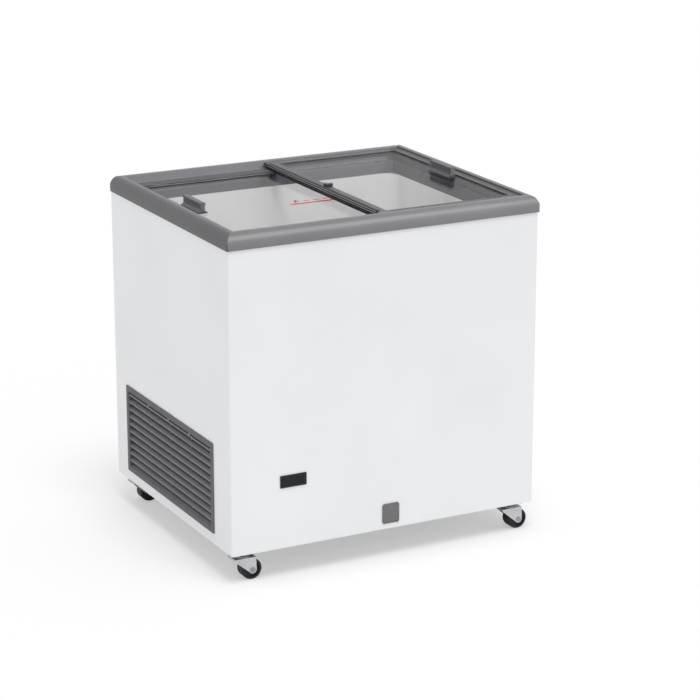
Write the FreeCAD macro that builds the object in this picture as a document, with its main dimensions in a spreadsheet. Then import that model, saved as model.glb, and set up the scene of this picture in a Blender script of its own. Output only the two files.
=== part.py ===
import FreeCAD, Part
import math
import os
import re

import Sketcher

# Glass lid chest freezer: a foamed steel cabinet on four swivel castors, a tub with a step over the cooling
# unit, a plastic top frame with two track levels, two sliding glass lids, and a louvred grille on the left.
# Lengths are millimetres. The origin is on the floor under the middle of the cabinet. The front faces -Y.

sizes = {
    # cabinet
    "cabinet_width": 800,
    "cabinet_depth": 665,
    "cabinet_height": 718,
    "ground_clearance": 72,
    "skin": 0.8,
    "shell_corner": 6,
    "shell_tuck": 6,
    "rear_flange": 14,
    "tray_sheet": 1.2,
    "tray_flange": 18,
    "fit": 0.3,
    "edge_break": 1,
    # tub and cooling bay
    "wall": 55,
    "tub_sheet": 1,
    "tub_floor": 62,
    "tub_corner": 35,
    "tub_rim": 14,
    "bay_length": 190,
    "bay_margin": 9,
    "bay_front_wall": 45,
    "bay_wall": 48,
    # top frame, measured inwards from the cabinet's face and upwards from its lower edge
    "frame_overhang": 3,
    "frame_lip": 8,
    "frame_height": 38,
    "frame_wall": 2.8,
    "frame_corner": 5,
    "frame_top": 25,
    "frame_edge": 1.2,
    "crown_inset": 16,
    "crown_radius": 14,
    "upper_track": 20.5,
    "upper_track_width": 8,
    "lower_track": 5.5,
    "lower_track_width": 17,
    "collar_drop": 22,
    "mitre_gap": 0.2,
    "notch_length": 53,
    "notch_height": 5,
    "notch_depth": 1.5,
    "notch_inset": 135,
    # lids
    "lid_height": 13.2,
    "lid_clearance": 1,
    "track_clearance": 0.3,
    "lid_border": 28,
    "runner_width": 6,
    "flange_height": 8,
    "glass_thickness": 4,
    "glass_groove": 10,
    "glass_clearance": 0.15,
    "groove_floor": 2,
    "end_border_inset": 49,
    "seam_offset": 1,
    "seam_border": 26,
    "seam_rib_width": 8,
    "seam_rib_rise": 2.5,
    "seam_rib_drop": 2,
    "seam_reach": 24,
    "overlap_border": 16,
    "seal_width": 5,
    "seal_tip": 1.7,
    "handle_inset": 70,
    "handle_length": 100,
    "handle_height": 25,
    "handle_foot": 23,
    "handle_foot_edge": 2.5,
    "handle_web": 9.5,
    "handle_lip": 13,
    "handle_lip_edge": 4,
    "handle_flare": 6,
    "handle_flare_radius": 7.2,
    "lock_radius": 11.5,
    "lock_height": 8,
    "lock_bevel": 1.5,
    "barrel_radius": 7,
    "barrel_rise": 1.2,
    "barrel_floor": 2,
    "key_slot_length": 8,
    "key_slot_width": 1.2,
    "key_slot_depth": 4,
    # grille
    "grille_width": 506,
    "grille_height": 220,
    "grille_bottom": 98,
    "grille_centre": 13,
    "grille_corner": 4,
    "grille_proud": 2.2,
    "grille_overlap": 5,
    "grille_depth": 12,
    "grille_side": 14,
    "grille_top": 14,
    "grille_foot": 13,
    "slat_count": 11,
    "slat_sink": 5,
    "slat_slot": 6,
    "slat_rise": 11,
    "slat_thickness": 4,
    "slat_recess": 1,
    "slat_round": 1.5,
    "slat_nose": 2.2,
    "rib_count": 3,
    "rib_width": 4,
    "rib_recess": 7,
    "bridge_width": 10,
    # controller
    "controller_width": 67,
    "controller_height": 29.5,
    "controller_centre": 243.5,
    "controller_level": 233,
    "controller_corner": 1.5,
    "controller_proud": 2,
    "controller_inset": 3,
    "controller_depth": 58,
    "controller_wall": 2,
    "window_width": 54,
    "window_height": 20,
    "window_thickness": 1,
    # drain
    "drain_centre": 10,
    "drain_level": 109.5,
    "drain_setback": 92,
    "drain_bore": 8,
    "drain_wall": 2.5,
    "drain_bend": 12,
    "drain_room": 1,
    "drain_cover_width": 44,
    "drain_cover_height": 49,
    "drain_cover_corner": 6,
    "drain_cover_proud": 2.6,
    "drain_grip_height": 5,
    "drain_grip_depth": 1.3,
    "drain_stub": 16,
    "plug_flange": 14,
    "plug_flange_height": 2.5,
    "plug_stem": 9,
    # rear panel
    "vent_count": 9,
    "vent_pitch": 18,
    "vent_length": 120,
    "vent_height": 6,
    "vent_round": 2.9,
    "vent_start": 40,
    "gland_radius": 9,
    "gland_flange": 13,
    "gland_flange_height": 3,
    "gland_length": 14,
    "gland_bore": 4,
    "gland_level": 60,
    "gland_inset": 17,
    "panel_screw_radius": 2,
    "panel_screw_head": 4.5,
    "panel_screw_length": 9,
    "panel_screw_head_height": 2,
    "panel_screw_rows": 5,
    "panel_screw_margin": 40,
    # cooling unit
    "pipe_radius": 3.2,
    "pipe_bend": 9,
    "suction_bend": 7.2,
    "capillary_drop": 13.5,
    "discharge_offset": 27,
    "capillary_radius": 1.5,
    "compressor_radius": 78,
    "compressor_height": 165,
    "compressor_round": 30,
    "compressor_foot_round": 15,
    "compressor_seam": 3,
    "compressor_seam_height": 6,
    "compressor_seam_level": 90,
    "compressor_x": 95,
    "compressor_setback": 192.5,
    "stub_offset": 13,
    "stub_setback": 26,
    "foot_length": 190,
    "foot_width": 110,
    "foot_sheet": 3,
    "foot_hole_length": 164,
    "foot_hole_width": 84,
    "foot_hole": 9,
    "grommet_radius": 13,
    "grommet_height": 16,
    "grommet_collar": 3,
    "grommet_bore": 4,
    "bolt_radius": 3,
    "bolt_head": 8,
    "bolt_head_height": 4,
    "terminal_width": 60,
    "terminal_depth": 34,
    "terminal_height": 70,
    "terminal_level": 60,
    "condenser_inset": 26,
    "condenser_rows": 8,
    "condenser_slack": 0.03,
    "condenser_low": 26,
    "condenser_margin": 11.8,
    "condenser_setback": 62.5,
    "condenser_offset": 130,
    "bracket_width": 18,
    "bracket_sheet": 1.5,
    "bracket_inset": 35,
    "fan_radius": 76,
    "fan_hub": 20,
    "fan_hub_depth": 16,
    "fan_blades": 5,
    "fan_blade_sheet": 1.6,
    "fan_pitch": 28,
    "fan_inset": 52,
    "fan_level": 125,
    "fan_setback": 120,
    "fan_shaft": 3,
    "shaft_clearance": 0.2,
    "motor_radius": 32,
    "motor_length": 46,
    "motor_gap": 4,
    "motor_round": 6,
    "fan_bracket_width": 60,
    "fan_bracket_foot": 34,
    "fan_bracket_sheet": 2,
    "drier_radius": 9.5,
    "drier_length": 110,
    "drier_taper": 16,
    "drier_neck": 1,
    "drier_x": 160,
    "drier_offset": 110,
    "drier_level": 48,
    "return_offset": 10,
    "return_level": 16,
    # evaporator
    "coil_radius": 4,
    "coil_turns": 4,
    "coil_low": 42,
    "coil_high": 71,
    "coil_climb": 150,
    "coil_recess": 10,
    "coil_tail_offset": 12,
    "coil_tail": 17,
    "coil_run_out": 90,
    # castors
    "castor_side": 44,
    "castor_end": 38,
    "castor_trail": 17,
    "wheel_radius": 25,
    "wheel_width": 32,
    "wheel_shoulder": 4,
    "wheel_recess": 3,
    "wheel_rim": 7,
    "wheel_hub": 9,
    "wheel_hub_width": 35.4,
    "axle_radius": 3.5,
    "axle_head": 6,
    "axle_head_height": 2,
    "fork_gap": 36,
    "fork_sheet": 2.5,
    "fork_top": 56,
    "fork_front": 28,
    "fork_rear": 25,
    "fork_nose": 5,
    "fork_round": 9,
    "fork_slope": 40,
    "race_radius": 20,
    "race_height": 11,
    "race_bulge": 2.5,
    "fork_race_radius": 17,
    "pin_radius": 5,
    "pin_head": 7.5,
    "pin_head_height": 3,
    "plate_size": 56,
    "plate_sheet": 2.5,
    "plate_corner": 5,
    "plate_hole": 3.3,
    "plate_hole_pitch": 42,
    "castor_screw_radius": 3,
    "castor_screw_head": 5.5,
    "castor_screw_head_height": 3.5,
    "castor_screw_length": 12,
}

vector = FreeCAD.Vector
doc = FreeCAD.newDocument("glass_lid_chest_freezer")
sheet = doc.addObject("Spreadsheet::Sheet", "Sizes")
for row, (name, number) in enumerate(sizes.items(), start=1):
    cell = f"A{row}"
    sheet.set(cell, str(number))
    sheet.setAlias(cell, name)
doc.recompute()

# places worked out from the driving sizes, as formulas on the sheet
half_width = "cabinet_width / 2"
half_depth = "cabinet_depth / 2"
frame_base = "(ground_clearance + cabinet_height)"
tray_top = "(ground_clearance + tray_sheet)"
tub_half_width = "(cabinet_width / 2 - wall)"
tub_half_depth = "(cabinet_depth / 2 - wall)"
tub_top = f"({frame_base} - collar_drop)"
tub_bottom = "(ground_clearance + tub_floor)"
bay_top = "(grille_bottom + grille_height + bay_margin)"
bay_height = f"({bay_top} - ground_clearance)"
bay_end = "(bay_length - cabinet_width / 2)"
bay_front = "(bay_front_wall - cabinet_depth / 2)"
step_top = f"({bay_top} + bay_wall)"
step_end = f"({bay_end} + bay_wall)"
panel_face = "(cabinet_depth / 2 - skin)"
gland_across = f"({bay_end} - gland_inset)"
plate_base = "(ground_clearance - plate_sheet)"
compressor_along = "(cabinet_depth / 2 - compressor_setback)"
return_along = f"({compressor_along} + return_offset)"
drier_along = f"({compressor_along} - drier_offset)"
condenser_rear = f"({compressor_along} - condenser_offset)"
condenser_front = f"({bay_front} + condenser_setback)"
condenser_height = f"({bay_top} - {tray_top} - condenser_low - condenser_margin)"
condenser_pitch = f"({condenser_height} / condenser_rows)"
fan_along = f"({condenser_rear} - fan_setback)"

maths = {"sqrt", "sin", "cos", "tan"}
nodes = []
cuts = []


def formula(text):
    def full_name(match):
        word = match.group()
        return word if word in maths else f"Sizes.{word}"

    return re.sub(r"[a-z][a-z_]*", full_name, str(text))


def value(text):
    return float(sheet.evalExpression(formula(text)))


def point(place):
    return vector(*[value(text) for text in place])


def bind(item, **formulas):
    for name, text in formulas.items():
        item.setExpression(name, formula(text))
    return item


def put(item, place, turn=0, axis=(0, 0, 1)):
    item.Placement = FreeCAD.Placement(vector(), FreeCAD.Rotation(vector(*axis), turn))
    for letter, text in zip("xyz", place):
        item.setExpression(f"Placement.Base.{letter}", formula(text))
    return item


def keep(item, label):
    item.Label = label
    nodes.append(item)
    return item


# sketches and the features that use them


def new_body(label, place=("0", "0", "0"), turn=0, axis=(0, 0, 1)):
    body = keep(doc.addObject("PartDesign::Body", label), label)
    return put(body, place, turn, axis)


def origin_part(body, role):
    return next(part for part in body.Origin.OriginFeatures if part.Role == role)


def new_sketch(body, plane, offset="0"):
    sketch = body.newObject("Sketcher::SketchObject", f"{body.Name}_outline")
    sketch.AttachmentSupport = [(origin_part(body, plane), "")]
    sketch.MapMode = "FlatFace"
    sketch.setExpression("AttachmentOffset.Base.z", formula(offset))
    return sketch


def pin_point(sketch, edge, end, across, up):
    for kind, text in (("DistanceX", across), ("DistanceY", up)):
        number = sketch.addConstraint(Sketcher.Constraint(kind, -1, 1, edge, end, value(text)))
        sketch.setExpression(f"Constraints[{number}]", formula(text))


def pin_radius(sketch, edge, radius):
    number = sketch.addConstraint(Sketcher.Constraint("Radius", edge, value(radius)))
    sketch.setExpression(f"Constraints[{number}]", formula(radius))


def round_edge(start, end, radius, turn):
    chord = end - start
    reach = math.sqrt(max(radius**2 - chord.Length**2 / 4, 0))
    side = vector(-chord.y, chord.x, 0).normalize()
    centre = (start + end) / 2 + side * reach * turn
    first, last = (start, end) if turn > 0 else (end, start)
    angles = [math.atan2(p.y - centre.y, p.x - centre.x) for p in (first, last)]
    return Part.ArcOfCircle(Part.Circle(centre, vector(0, 0, 1), radius), *angles)


# a corner is (across, up), or (across, up, radius, turn) where the edge after it is round:
# turn 1 goes round anticlockwise, turn -1 clockwise
def outline(sketch, corners):
    places = [vector(value(c[0]), value(c[1]), 0) for c in corners]
    edges = []
    for index, corner in enumerate(corners):
        start, end = places[index], places[(index + 1) % len(places)]
        if len(corner) == 2:
            number = sketch.addGeometry(Part.LineSegment(start, end), False)
            edges.append((number, 1, 2))
            continue
        radius, turn = corner[2:]
        number = sketch.addGeometry(round_edge(start, end, value(radius), turn), False)
        edges.append((number, 1, 2) if turn > 0 else (number, 2, 1))
    for index, (number, _, end) in enumerate(edges):
        follower, start, _ = edges[(index + 1) % len(edges)]
        sketch.addConstraint(Sketcher.Constraint("Coincident", number, end, follower, start))
    for corner, (number, start, _) in zip(corners, edges):
        pin_point(sketch, number, start, corner[0], corner[1])
        if len(corner) > 2:
            pin_radius(sketch, number, corner[2])


def rectangle(sketch, left, low, right, high):
    outline(sketch, [(left, low), (right, low), (right, high), (left, high)])


def rounded(sketch, left, low, right, high, radius):
    corners = [
        (f"{left} + {radius}", low),
        (f"{right} - {radius}", low, radius, 1),
        (right, f"{low} + {radius}"),
        (right, f"{high} - {radius}", radius, 1),
        (f"{right} - {radius}", high),
        (f"{left} + {radius}", high, radius, 1),
        (left, f"{high} - {radius}"),
        (left, f"{low} + {radius}", radius, 1),
    ]
    outline(sketch, corners)


def circle(sketch, across, up, radius):
    centre = vector(value(across), value(up), 0)
    number = sketch.addGeometry(Part.Circle(centre, vector(0, 0, 1), value(radius)), False)
    pin_point(sketch, number, 3, across, up)
    pin_radius(sketch, number, radius)


def pad(body, sketch, length, both=False, back=False):
    feature = body.newObject("PartDesign::Pad", f"{body.Name}_pad")
    feature.Profile = sketch
    feature.Midplane = both
    feature.Reversed = back
    return bind(feature, Length=length)


def pocket(body, sketch, depth=None, both=False, back=False):
    feature = body.newObject("PartDesign::Pocket", f"{body.Name}_pocket")
    feature.Profile = sketch
    feature.Midplane = both
    feature.Reversed = back
    cuts.append(feature)
    if depth is None:
        feature.Type = "ThroughAll"
        return feature
    return bind(feature, Length=depth)


def revolve(body, sketch, role):
    feature = body.newObject("PartDesign::Revolution", f"{body.Name}_turned")
    feature.Profile = sketch
    feature.ReferenceAxis = (origin_part(body, role), [""])
    return feature


def linear(body, features, role, count, pitch):
    feature = body.newObject("PartDesign::LinearPattern", f"{body.Name}_row")
    feature.Originals = features
    feature.Direction = (origin_part(body, role), [""])
    bind(feature, Occurrences=count, Length=f"({count} - 1) * {pitch}")
    body.Tip = feature
    return feature


# solids made of simple bodies


def box(name, low, size):
    item = put(doc.addObject("Part::Box", name), low)
    return bind(item, Length=size[0], Width=size[1], Height=size[2])


def cylinder(name, base, radius, length, axis="z"):
    turns = {"x": (90, (0, 1, 0)), "y": (-90, (1, 0, 0)), "z": (0, (0, 0, 1))}
    item = put(doc.addObject("Part::Cylinder", name), base, *turns[axis])
    return bind(item, Radius=radius, Height=length)


def together(name, items):
    item = doc.addObject("Part::Compound", name)
    item.Links = items
    return item


def fuse(name, items):
    item = doc.addObject("Part::MultiFuse", name)
    item.Shapes = items
    return item


def cut(name, base, tools):
    item = doc.addObject("Part::Cut", name)
    item.Base = base
    item.Tool = tools[0] if len(tools) == 1 else fuse(f"{name}_tools", tools)
    return item


# a round bar along straight runs joined by tangent arcs of one radius
def bar(points, radius, bend):
    edges = []
    last = points[0]
    for before, corner, after in zip(points, points[1:], points[2:]):
        arriving = (corner - before).normalize()
        leaving = (after - corner).normalize()
        half_turn = arriving.getAngle(leaving) / 2
        setback = bend * math.tan(half_turn)
        start, end = corner - arriving * setback, corner + leaving * setback
        inward = (leaving - arriving).normalize()
        middle = corner + inward * bend * (1 / math.cos(half_turn) - 1)
        edges.append(Part.LineSegment(last, start).toShape())
        edges.append(Part.Arc(start, middle, end).toShape())
        last = end
    edges.append(Part.LineSegment(last, points[-1]).toShape())
    path = Part.Wire(edges)
    ring = Part.Circle(points[0], points[1] - points[0], radius).toShape()
    return path.makePipeShell([Part.Wire([ring])], True, False)


def pipe(label, places, radius, bend):
    item = keep(doc.addObject("Part::Feature", label), label)
    item.Shape = bar([point(place) for place in places], value(radius), value(bend))
    return item


# cabinet


def outer_shell():
    body = new_body("outer_shell", ("0", "0", "ground_clearance"))
    left, right = f"-{half_width}", half_width
    front, rear = f"-{half_depth}", half_depth
    bend, inner_bend = "shell_corner", "(shell_corner - skin)"
    plan = [
        (f"{left} + rear_flange", rear),
        (left, rear),
        (left, f"{front} + {bend}", bend, 1),
        (f"{left} + {bend}", front),
        (f"{right} - {bend}", front, bend, 1),
        (right, f"{front} + {bend}"),
        (right, rear),
        (f"{right} - rear_flange", rear),
        (f"{right} - rear_flange", f"{rear} - skin"),
        (f"{right} - skin", f"{rear} - skin"),
        (f"{right} - skin", f"{front} + {bend}", inner_bend, -1),
        (f"{right} - {bend}", f"{front} + skin"),
        (f"{left} + {bend}", f"{front} + skin", inner_bend, -1),
        (f"{left} + skin", f"{front} + {bend}"),
        (f"{left} + skin", f"{rear} - skin"),
        (f"{left} + rear_flange", f"{rear} - skin"),
    ]
    sketch = new_sketch(body, "XY_Plane")
    outline(sketch, plan)
    pad(body, sketch, "cabinet_height + shell_tuck")

    opening = new_sketch(body, "YZ_Plane")
    reach = "(grille_width / 2 - grille_overlap + fit)"
    low = "grille_bottom - ground_clearance + grille_overlap - fit"
    rectangle(opening, f"grille_centre - {reach}", low, f"grille_centre + {reach}",
              f"{low} + grille_height - 2 * grille_overlap + 2 * fit")
    pocket(body, opening)

    front_holes = new_sketch(body, "XZ_Plane")
    across = "(controller_width / 2 - controller_inset + fit)"
    up = "(controller_height / 2 - controller_inset + fit)"
    level = "(controller_level - ground_clearance)"
    rectangle(front_holes, f"-controller_centre - {across}", f"{level} - {up}",
              f"-controller_centre + {across}", f"{level} + {up}")
    circle(front_holes, "drain_centre", "drain_level - ground_clearance", "drain_bore")
    pocket(body, front_holes, back=True)

    flange_holes = new_sketch(body, "XZ_Plane")
    for place, height in panel_screw_places():
        circle(flange_holes, place, f"{height} - ground_clearance", "panel_screw_radius + fit")
    pocket(body, flange_holes)


def rear_panel():
    body = new_body("rear_panel", ("0", panel_face, "ground_clearance"))
    sketch = new_sketch(body, "XZ_Plane")
    reach = f"({half_width} - skin - fit)"
    rectangle(sketch, f"-{reach}", "tray_sheet", reach, "cabinet_height + shell_tuck")
    pad(body, sketch, "skin")

    vent = new_sketch(body, "XZ_Plane")
    middle = f"({bay_end} - bay_length / 2)"
    rounded(vent, f"{middle} - vent_length / 2", "vent_start", f"{middle} + vent_length / 2",
            "vent_start + vent_height", "vent_round")
    row = pocket(body, vent, both=True)
    linear(body, [row], "Z_Axis", "vent_count", "vent_pitch")

    gland = new_sketch(body, "XZ_Plane")
    circle(gland, gland_across, "gland_level", "gland_radius + fit")
    for place, height in panel_screw_places():
        circle(gland, place, f"{height} - ground_clearance", "panel_screw_radius + fit")
    pocket(body, gland, both=True)


def panel_screw_places():
    span = f"({frame_base} - ground_clearance - 2 * panel_screw_margin)"
    rows = int(value("panel_screw_rows"))
    return [
        (f"{side} * ({half_width} - rear_flange / 2)",
         f"ground_clearance + panel_screw_margin + {span} * {row} / (panel_screw_rows - 1)")
        for side in (-1, 1)
        for row in range(rows)
    ]


def panel_screws():
    screws = []
    for across, level in panel_screw_places():
        head = cylinder("panel_screw_head", (across, half_depth, level), "panel_screw_head",
                        "panel_screw_head_height", "y")
        stem = cylinder("panel_screw_stem", (across, f"{half_depth} - panel_screw_length", level),
                        "panel_screw_radius", "panel_screw_length + panel_screw_head_height / 2", "y")
        screws.append(fuse("panel_screw", [head, stem]))
    keep(together("panel_screw_group", screws), "rear_panel_screws")


def cord_gland():
    body = new_body("cord_gland", (gland_across, panel_face, "ground_clearance + gland_level"))
    sketch = new_sketch(body, "YZ_Plane")
    corners = [
        ("gland_flange_height", "gland_bore"),
        ("gland_flange_height", "gland_flange - edge_break"),
        ("gland_flange_height - edge_break", "gland_flange"),
        ("0", "gland_flange"),
        ("0", "gland_radius"),
        ("-gland_length", "gland_radius"),
        ("-gland_length", "gland_bore"),
    ]
    outline(sketch, corners)
    revolve(body, sketch, "Y_Axis")


def base_tray():
    body = new_body("base_tray", ("0", "0", "ground_clearance"))
    sketch = new_sketch(body, "XY_Plane")
    gap = "(skin + fit)"
    left, right = f"{gap} - {half_width}", f"{half_width} - {gap}"
    front, rear = f"{gap} - {half_depth}", f"{half_depth} - 2 * skin - fit"
    rounded(sketch, left, front, right, rear, "shell_corner")
    pad(body, sketch, "tray_flange")
    inside = new_sketch(body, "XY_Plane", "tray_sheet")
    rounded(inside, f"{left} + tray_sheet", f"{front} + tray_sheet", f"{right} - tray_sheet",
            f"{rear} - tray_sheet", "(shell_corner - tray_sheet)")
    pocket(body, inside, "tray_flange", back=True)
    holes = new_sketch(body, "XY_Plane")
    for across, along in castor_screw_places():
        circle(holes, across, along, "plate_hole")
    for across, along in foot_places():
        circle(holes, across, along, "bolt_radius + fit")
    pocket(body, holes, both=True)


# four places on the corners of a rectangle about the origin
def square(length, width=None):
    width = width or length
    return [(f"({a} * {length} / 2)", f"({b} * {width} / 2)") for a in (-1, 1) for b in (-1, 1)]


def castor_places():
    across = "(cabinet_width - 2 * castor_side)"
    along = "(cabinet_depth - 2 * castor_end)"
    return square(across, along)


def castor_screw_places():
    return [
        (f"{across} + {hole_across}", f"{along} + {hole_along}")
        for across, along in castor_places()
        for hole_across, hole_along in square("plate_hole_pitch")
    ]


def foot_places():
    return [
        (f"compressor_x - {half_width} + {across}", f"{compressor_along} + {along}")
        for across, along in square("foot_hole_width", "foot_hole_length")
    ]


def tub_part(name, left, low, high, spread):
    body = doc.addObject("PartDesign::Body", name)
    sketch = new_sketch(body, "XY_Plane", low)
    rounded(sketch, f"{left} - {spread}", f"-{tub_half_depth} - {spread}", f"{tub_half_width} + {spread}",
            f"{tub_half_depth} + {spread}", f"(tub_corner + {spread})")
    pad(body, sketch, f"{high} - {low}")
    return body


def inner_liner():
    body = new_body("inner_liner")
    whole, part = f"-{tub_half_width}", step_end

    def add(left, low, high, spread, make):
        sketch = new_sketch(body, "XY_Plane", low)
        rounded(sketch, f"{left} - {spread}", f"-{tub_half_depth} - {spread}",
                f"{tub_half_width} + {spread}", f"{tub_half_depth} + {spread}", f"(tub_corner + {spread})")
        make(sketch, f"{high} - {low}")

    def grow(sketch, height):
        pad(body, sketch, height)

    def hollow(sketch, height):
        pocket(body, sketch, height, back=True)

    add(whole, f"({step_top} - tub_sheet)", tub_top, "tub_sheet", grow)
    add(part, f"({tub_bottom} - tub_sheet)", step_top, "tub_sheet", grow)
    add(whole, f"({tub_top} - tub_sheet)", tub_top, "tub_rim", grow)
    add(whole, step_top, tub_top, "0", hollow)
    add(part, tub_bottom, tub_top, "0", hollow)
    hole = new_sketch(body, "XY_Plane", tub_bottom)
    circle(hole, "drain_centre", f"drain_setback - {half_depth}", "drain_bore")
    pocket(body, hole, "2 * tub_sheet", both=True)


# the foam fills the space between the tub and the steel, round the bay, the pipes and the screws
def insulation_foam():
    gap = "(skin + fit + tray_sheet)"
    block = doc.addObject("PartDesign::Body", "foam_block")
    sketch = new_sketch(block, "XY_Plane", tray_top)
    rounded(sketch, f"{gap} - {half_width}", f"{gap} - {half_depth}", f"{half_width} - {gap}",
            f"{half_depth} - {gap} - skin", "shell_corner")
    pad(block, sketch, f"{tub_top} - tub_sheet - {tray_top}")

    spread = "(tub_sheet + fit)"
    band_low = f"({coil_base} - 2 * coil_recess)"
    band_high = f"({coil_top} + 2 * coil_recess)"
    inlet_low = f"{drier_along} - 2 * coil_radius - coil_recess"
    outlet_low = f"-{coil_half_width} - coil_tail_offset - 2 * coil_radius"
    drain_along = f"drain_setback - {half_depth}"
    drain_low = "(drain_level - drain_bore - drain_wall - fit)"
    hollows = [
        tub_part("foam_upper_hollow", f"-{tub_half_width}", f"({step_top} - {spread})",
                 f"({tub_top} + fit)", spread),
        tub_part("foam_lower_hollow", step_end, f"({tub_bottom} - {spread})", step_top, spread),
        tub_part("foam_coil_band", f"-{tub_half_width}", band_low, band_high, "(tub_sheet + coil_recess)"),
        box("foam_bay", (f"-{half_width}", bay_front, "ground_clearance"),
            ("bay_length", "cabinet_depth", bay_height)),
        box("foam_controller", ("-controller_centre - controller_width / 2", f"-{half_depth}",
                                "controller_level - controller_height / 2"),
            ("controller_width", "controller_depth + fit", "controller_height")),
        box("foam_coil_inlet", (f"-{coil_half_width} - 2 * coil_radius", inlet_low, bay_top),
            ("4 * coil_radius", "4 * coil_radius + coil_recess", f"{coil_base} - {bay_top}")),
        box("foam_coil_outlet", (outlet_low, f"{return_along} - 2 * coil_radius", bay_top),
            ("4 * coil_radius + coil_tail_offset", "4 * coil_radius + coil_run_out",
             f"{band_high} - {bay_top}")),
        cylinder("foam_drain_drop", ("drain_centre", drain_along, drain_low),
                 "drain_bore + drain_wall + drain_room + fit", f"{tub_bottom} - {drain_low}"),
        cylinder("foam_drain_run", ("drain_centre", f"-{half_depth}", "drain_level"),
                 "drain_bore + drain_wall + drain_room", "drain_setback", "y"),
    ]
    screw_holes = [
        cylinder("foam_panel_screw", (across, f"{half_depth} - panel_screw_length - fit", level),
                 "panel_screw_radius + fit", "panel_screw_length", "y")
        for across, level in panel_screw_places()
    ]
    screw_holes += [
        cylinder("foam_castor_screw", (across, along, plate_base), "castor_screw_radius + fit",
                 "castor_screw_length + fit")
        for across, along in castor_screw_places()
    ]
    shaped = cut("foam_shaped", block, hollows)
    keep(cut("foam_cut", shaped, [together("foam_screw_holes", screw_holes)]), "insulation_foam")


coil_half_width = f"({tub_half_width} + tub_sheet + fit + coil_radius)"
coil_half_depth = f"({tub_half_depth} + tub_sheet + fit + coil_radius)"
coil_base = f"({step_top} + coil_low)"
coil_top = f"({tub_top} - coil_high)"


def evaporator_coil():
    bend = "tub_corner + tub_sheet + fit + coil_radius"
    left, right = f"-{coil_half_width}", coil_half_width
    front, rear = f"-{coil_half_depth}", coil_half_depth
    tail_end = f"{bay_top} - coil_tail"
    pitch = f"(({coil_top} - {coil_base}) / coil_turns)"
    places = [(left, drier_along, tail_end), (left, drier_along, coil_base)]
    for turn in range(int(value("coil_turns"))):
        low = f"{coil_base} + {turn} * {pitch}"
        high = f"{low} + {pitch}"
        places += [
            (left, front, low),
            ("-coil_climb", front, low),
            ("coil_climb", front, high),
            (right, front, high),
            (right, rear, high),
            (left, rear, high),
        ]
    outer = f"{left} - coil_tail_offset"
    places += [
        (left, f"{return_along} + coil_run_out", coil_top),
        (outer, return_along, coil_top),
        (outer, return_along, tail_end),
    ]
    pipe("evaporator_coil", places, "coil_radius", bend)


# top frame


def frame_rail(label, length, turn, place):
    body = new_body(label, place, turn)
    rise, run = "(frame_height - frame_lip)", "(crown_inset + frame_overhang)"
    side_radius = (f"(({run} * {run} + ({rise} - crown_radius) * ({rise} - crown_radius)"
                   f" - crown_radius * crown_radius) / (2 * ({run} - crown_radius)))")
    centre_gap = f"({side_radius} - crown_radius)"
    lean = f"(({side_radius} - {run}) / {centre_gap})"
    lift = f"(({rise} - crown_radius) / {centre_gap})"
    crown_low = "(frame_height - crown_radius)"
    inner_crown = "(crown_radius - frame_wall)"
    inner_side = f"({side_radius} - frame_wall)"
    upper_end = "(frame_top + upper_track_width)"
    lower_end = "(frame_top + upper_track_width + lower_track_width)"
    inner_lip = "(frame_wall - frame_overhang)"
    section = [
        ("-frame_overhang", "0"),
        ("-frame_overhang", "frame_lip", side_radius, -1),
        (f"crown_inset - crown_radius * {lean}", f"{crown_low} + crown_radius * {lift}",
         "crown_radius", -1),
        ("crown_inset", "frame_height"),
        ("frame_top - frame_edge", "frame_height", "frame_edge", -1),
        ("frame_top", "frame_height - frame_edge"),
        ("frame_top", "upper_track"),
        (upper_end, "upper_track"),
        (upper_end, "lower_track"),
        (lower_end, "lower_track"),
        ("wall", "-collar_drop"),
        ("wall - frame_wall", "-collar_drop"),
        (f"{lower_end} - frame_wall", "lower_track - frame_wall"),
        (f"{upper_end} - frame_wall", "lower_track - frame_wall"),
        (f"{upper_end} - frame_wall", "upper_track - frame_wall"),
        ("frame_top - frame_wall", "upper_track - frame_wall"),
        ("frame_top - frame_wall", "frame_height - frame_wall"),
        ("crown_inset", "frame_height - frame_wall", inner_crown, 1),
        (f"crown_inset - {inner_crown} * {lean}", f"{crown_low} + {inner_crown} * {lift}", inner_side, 1),
        (inner_lip, "frame_lip"),
        (inner_lip, "0"),
    ]
    sketch = new_sketch(body, "YZ_Plane")
    outline(sketch, section)
    pad(body, sketch, f"{length} + 2 * frame_overhang", both=True)

    mitre = new_sketch(body, "XY_Plane")
    half = f"({length} / 2 + frame_overhang)"
    nib = "frame_corner * (1 - sqrt(0.5))"
    reach = "(wall + 2 * frame_overhang)"
    for side in (1, -1):
        corners = [
            (f"{side} * ({half} - frame_corner)", "-frame_overhang", "frame_corner", side),
            (f"{side} * ({half} - {nib} - mitre_gap)", f"{nib} - frame_overhang"),
            (f"{side} * ({half} - {reach} - mitre_gap)", f"{reach} - frame_overhang"),
            (f"{side} * ({half} + frame_corner)", f"{reach} - frame_overhang"),
            (f"{side} * ({half} + frame_corner)", "-frame_overhang - frame_corner"),
            (f"{side} * ({half} - frame_corner)", "-frame_overhang - frame_corner"),
        ]
        outline(mitre, corners)
    pocket(body, mitre, both=True)
    return body


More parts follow.
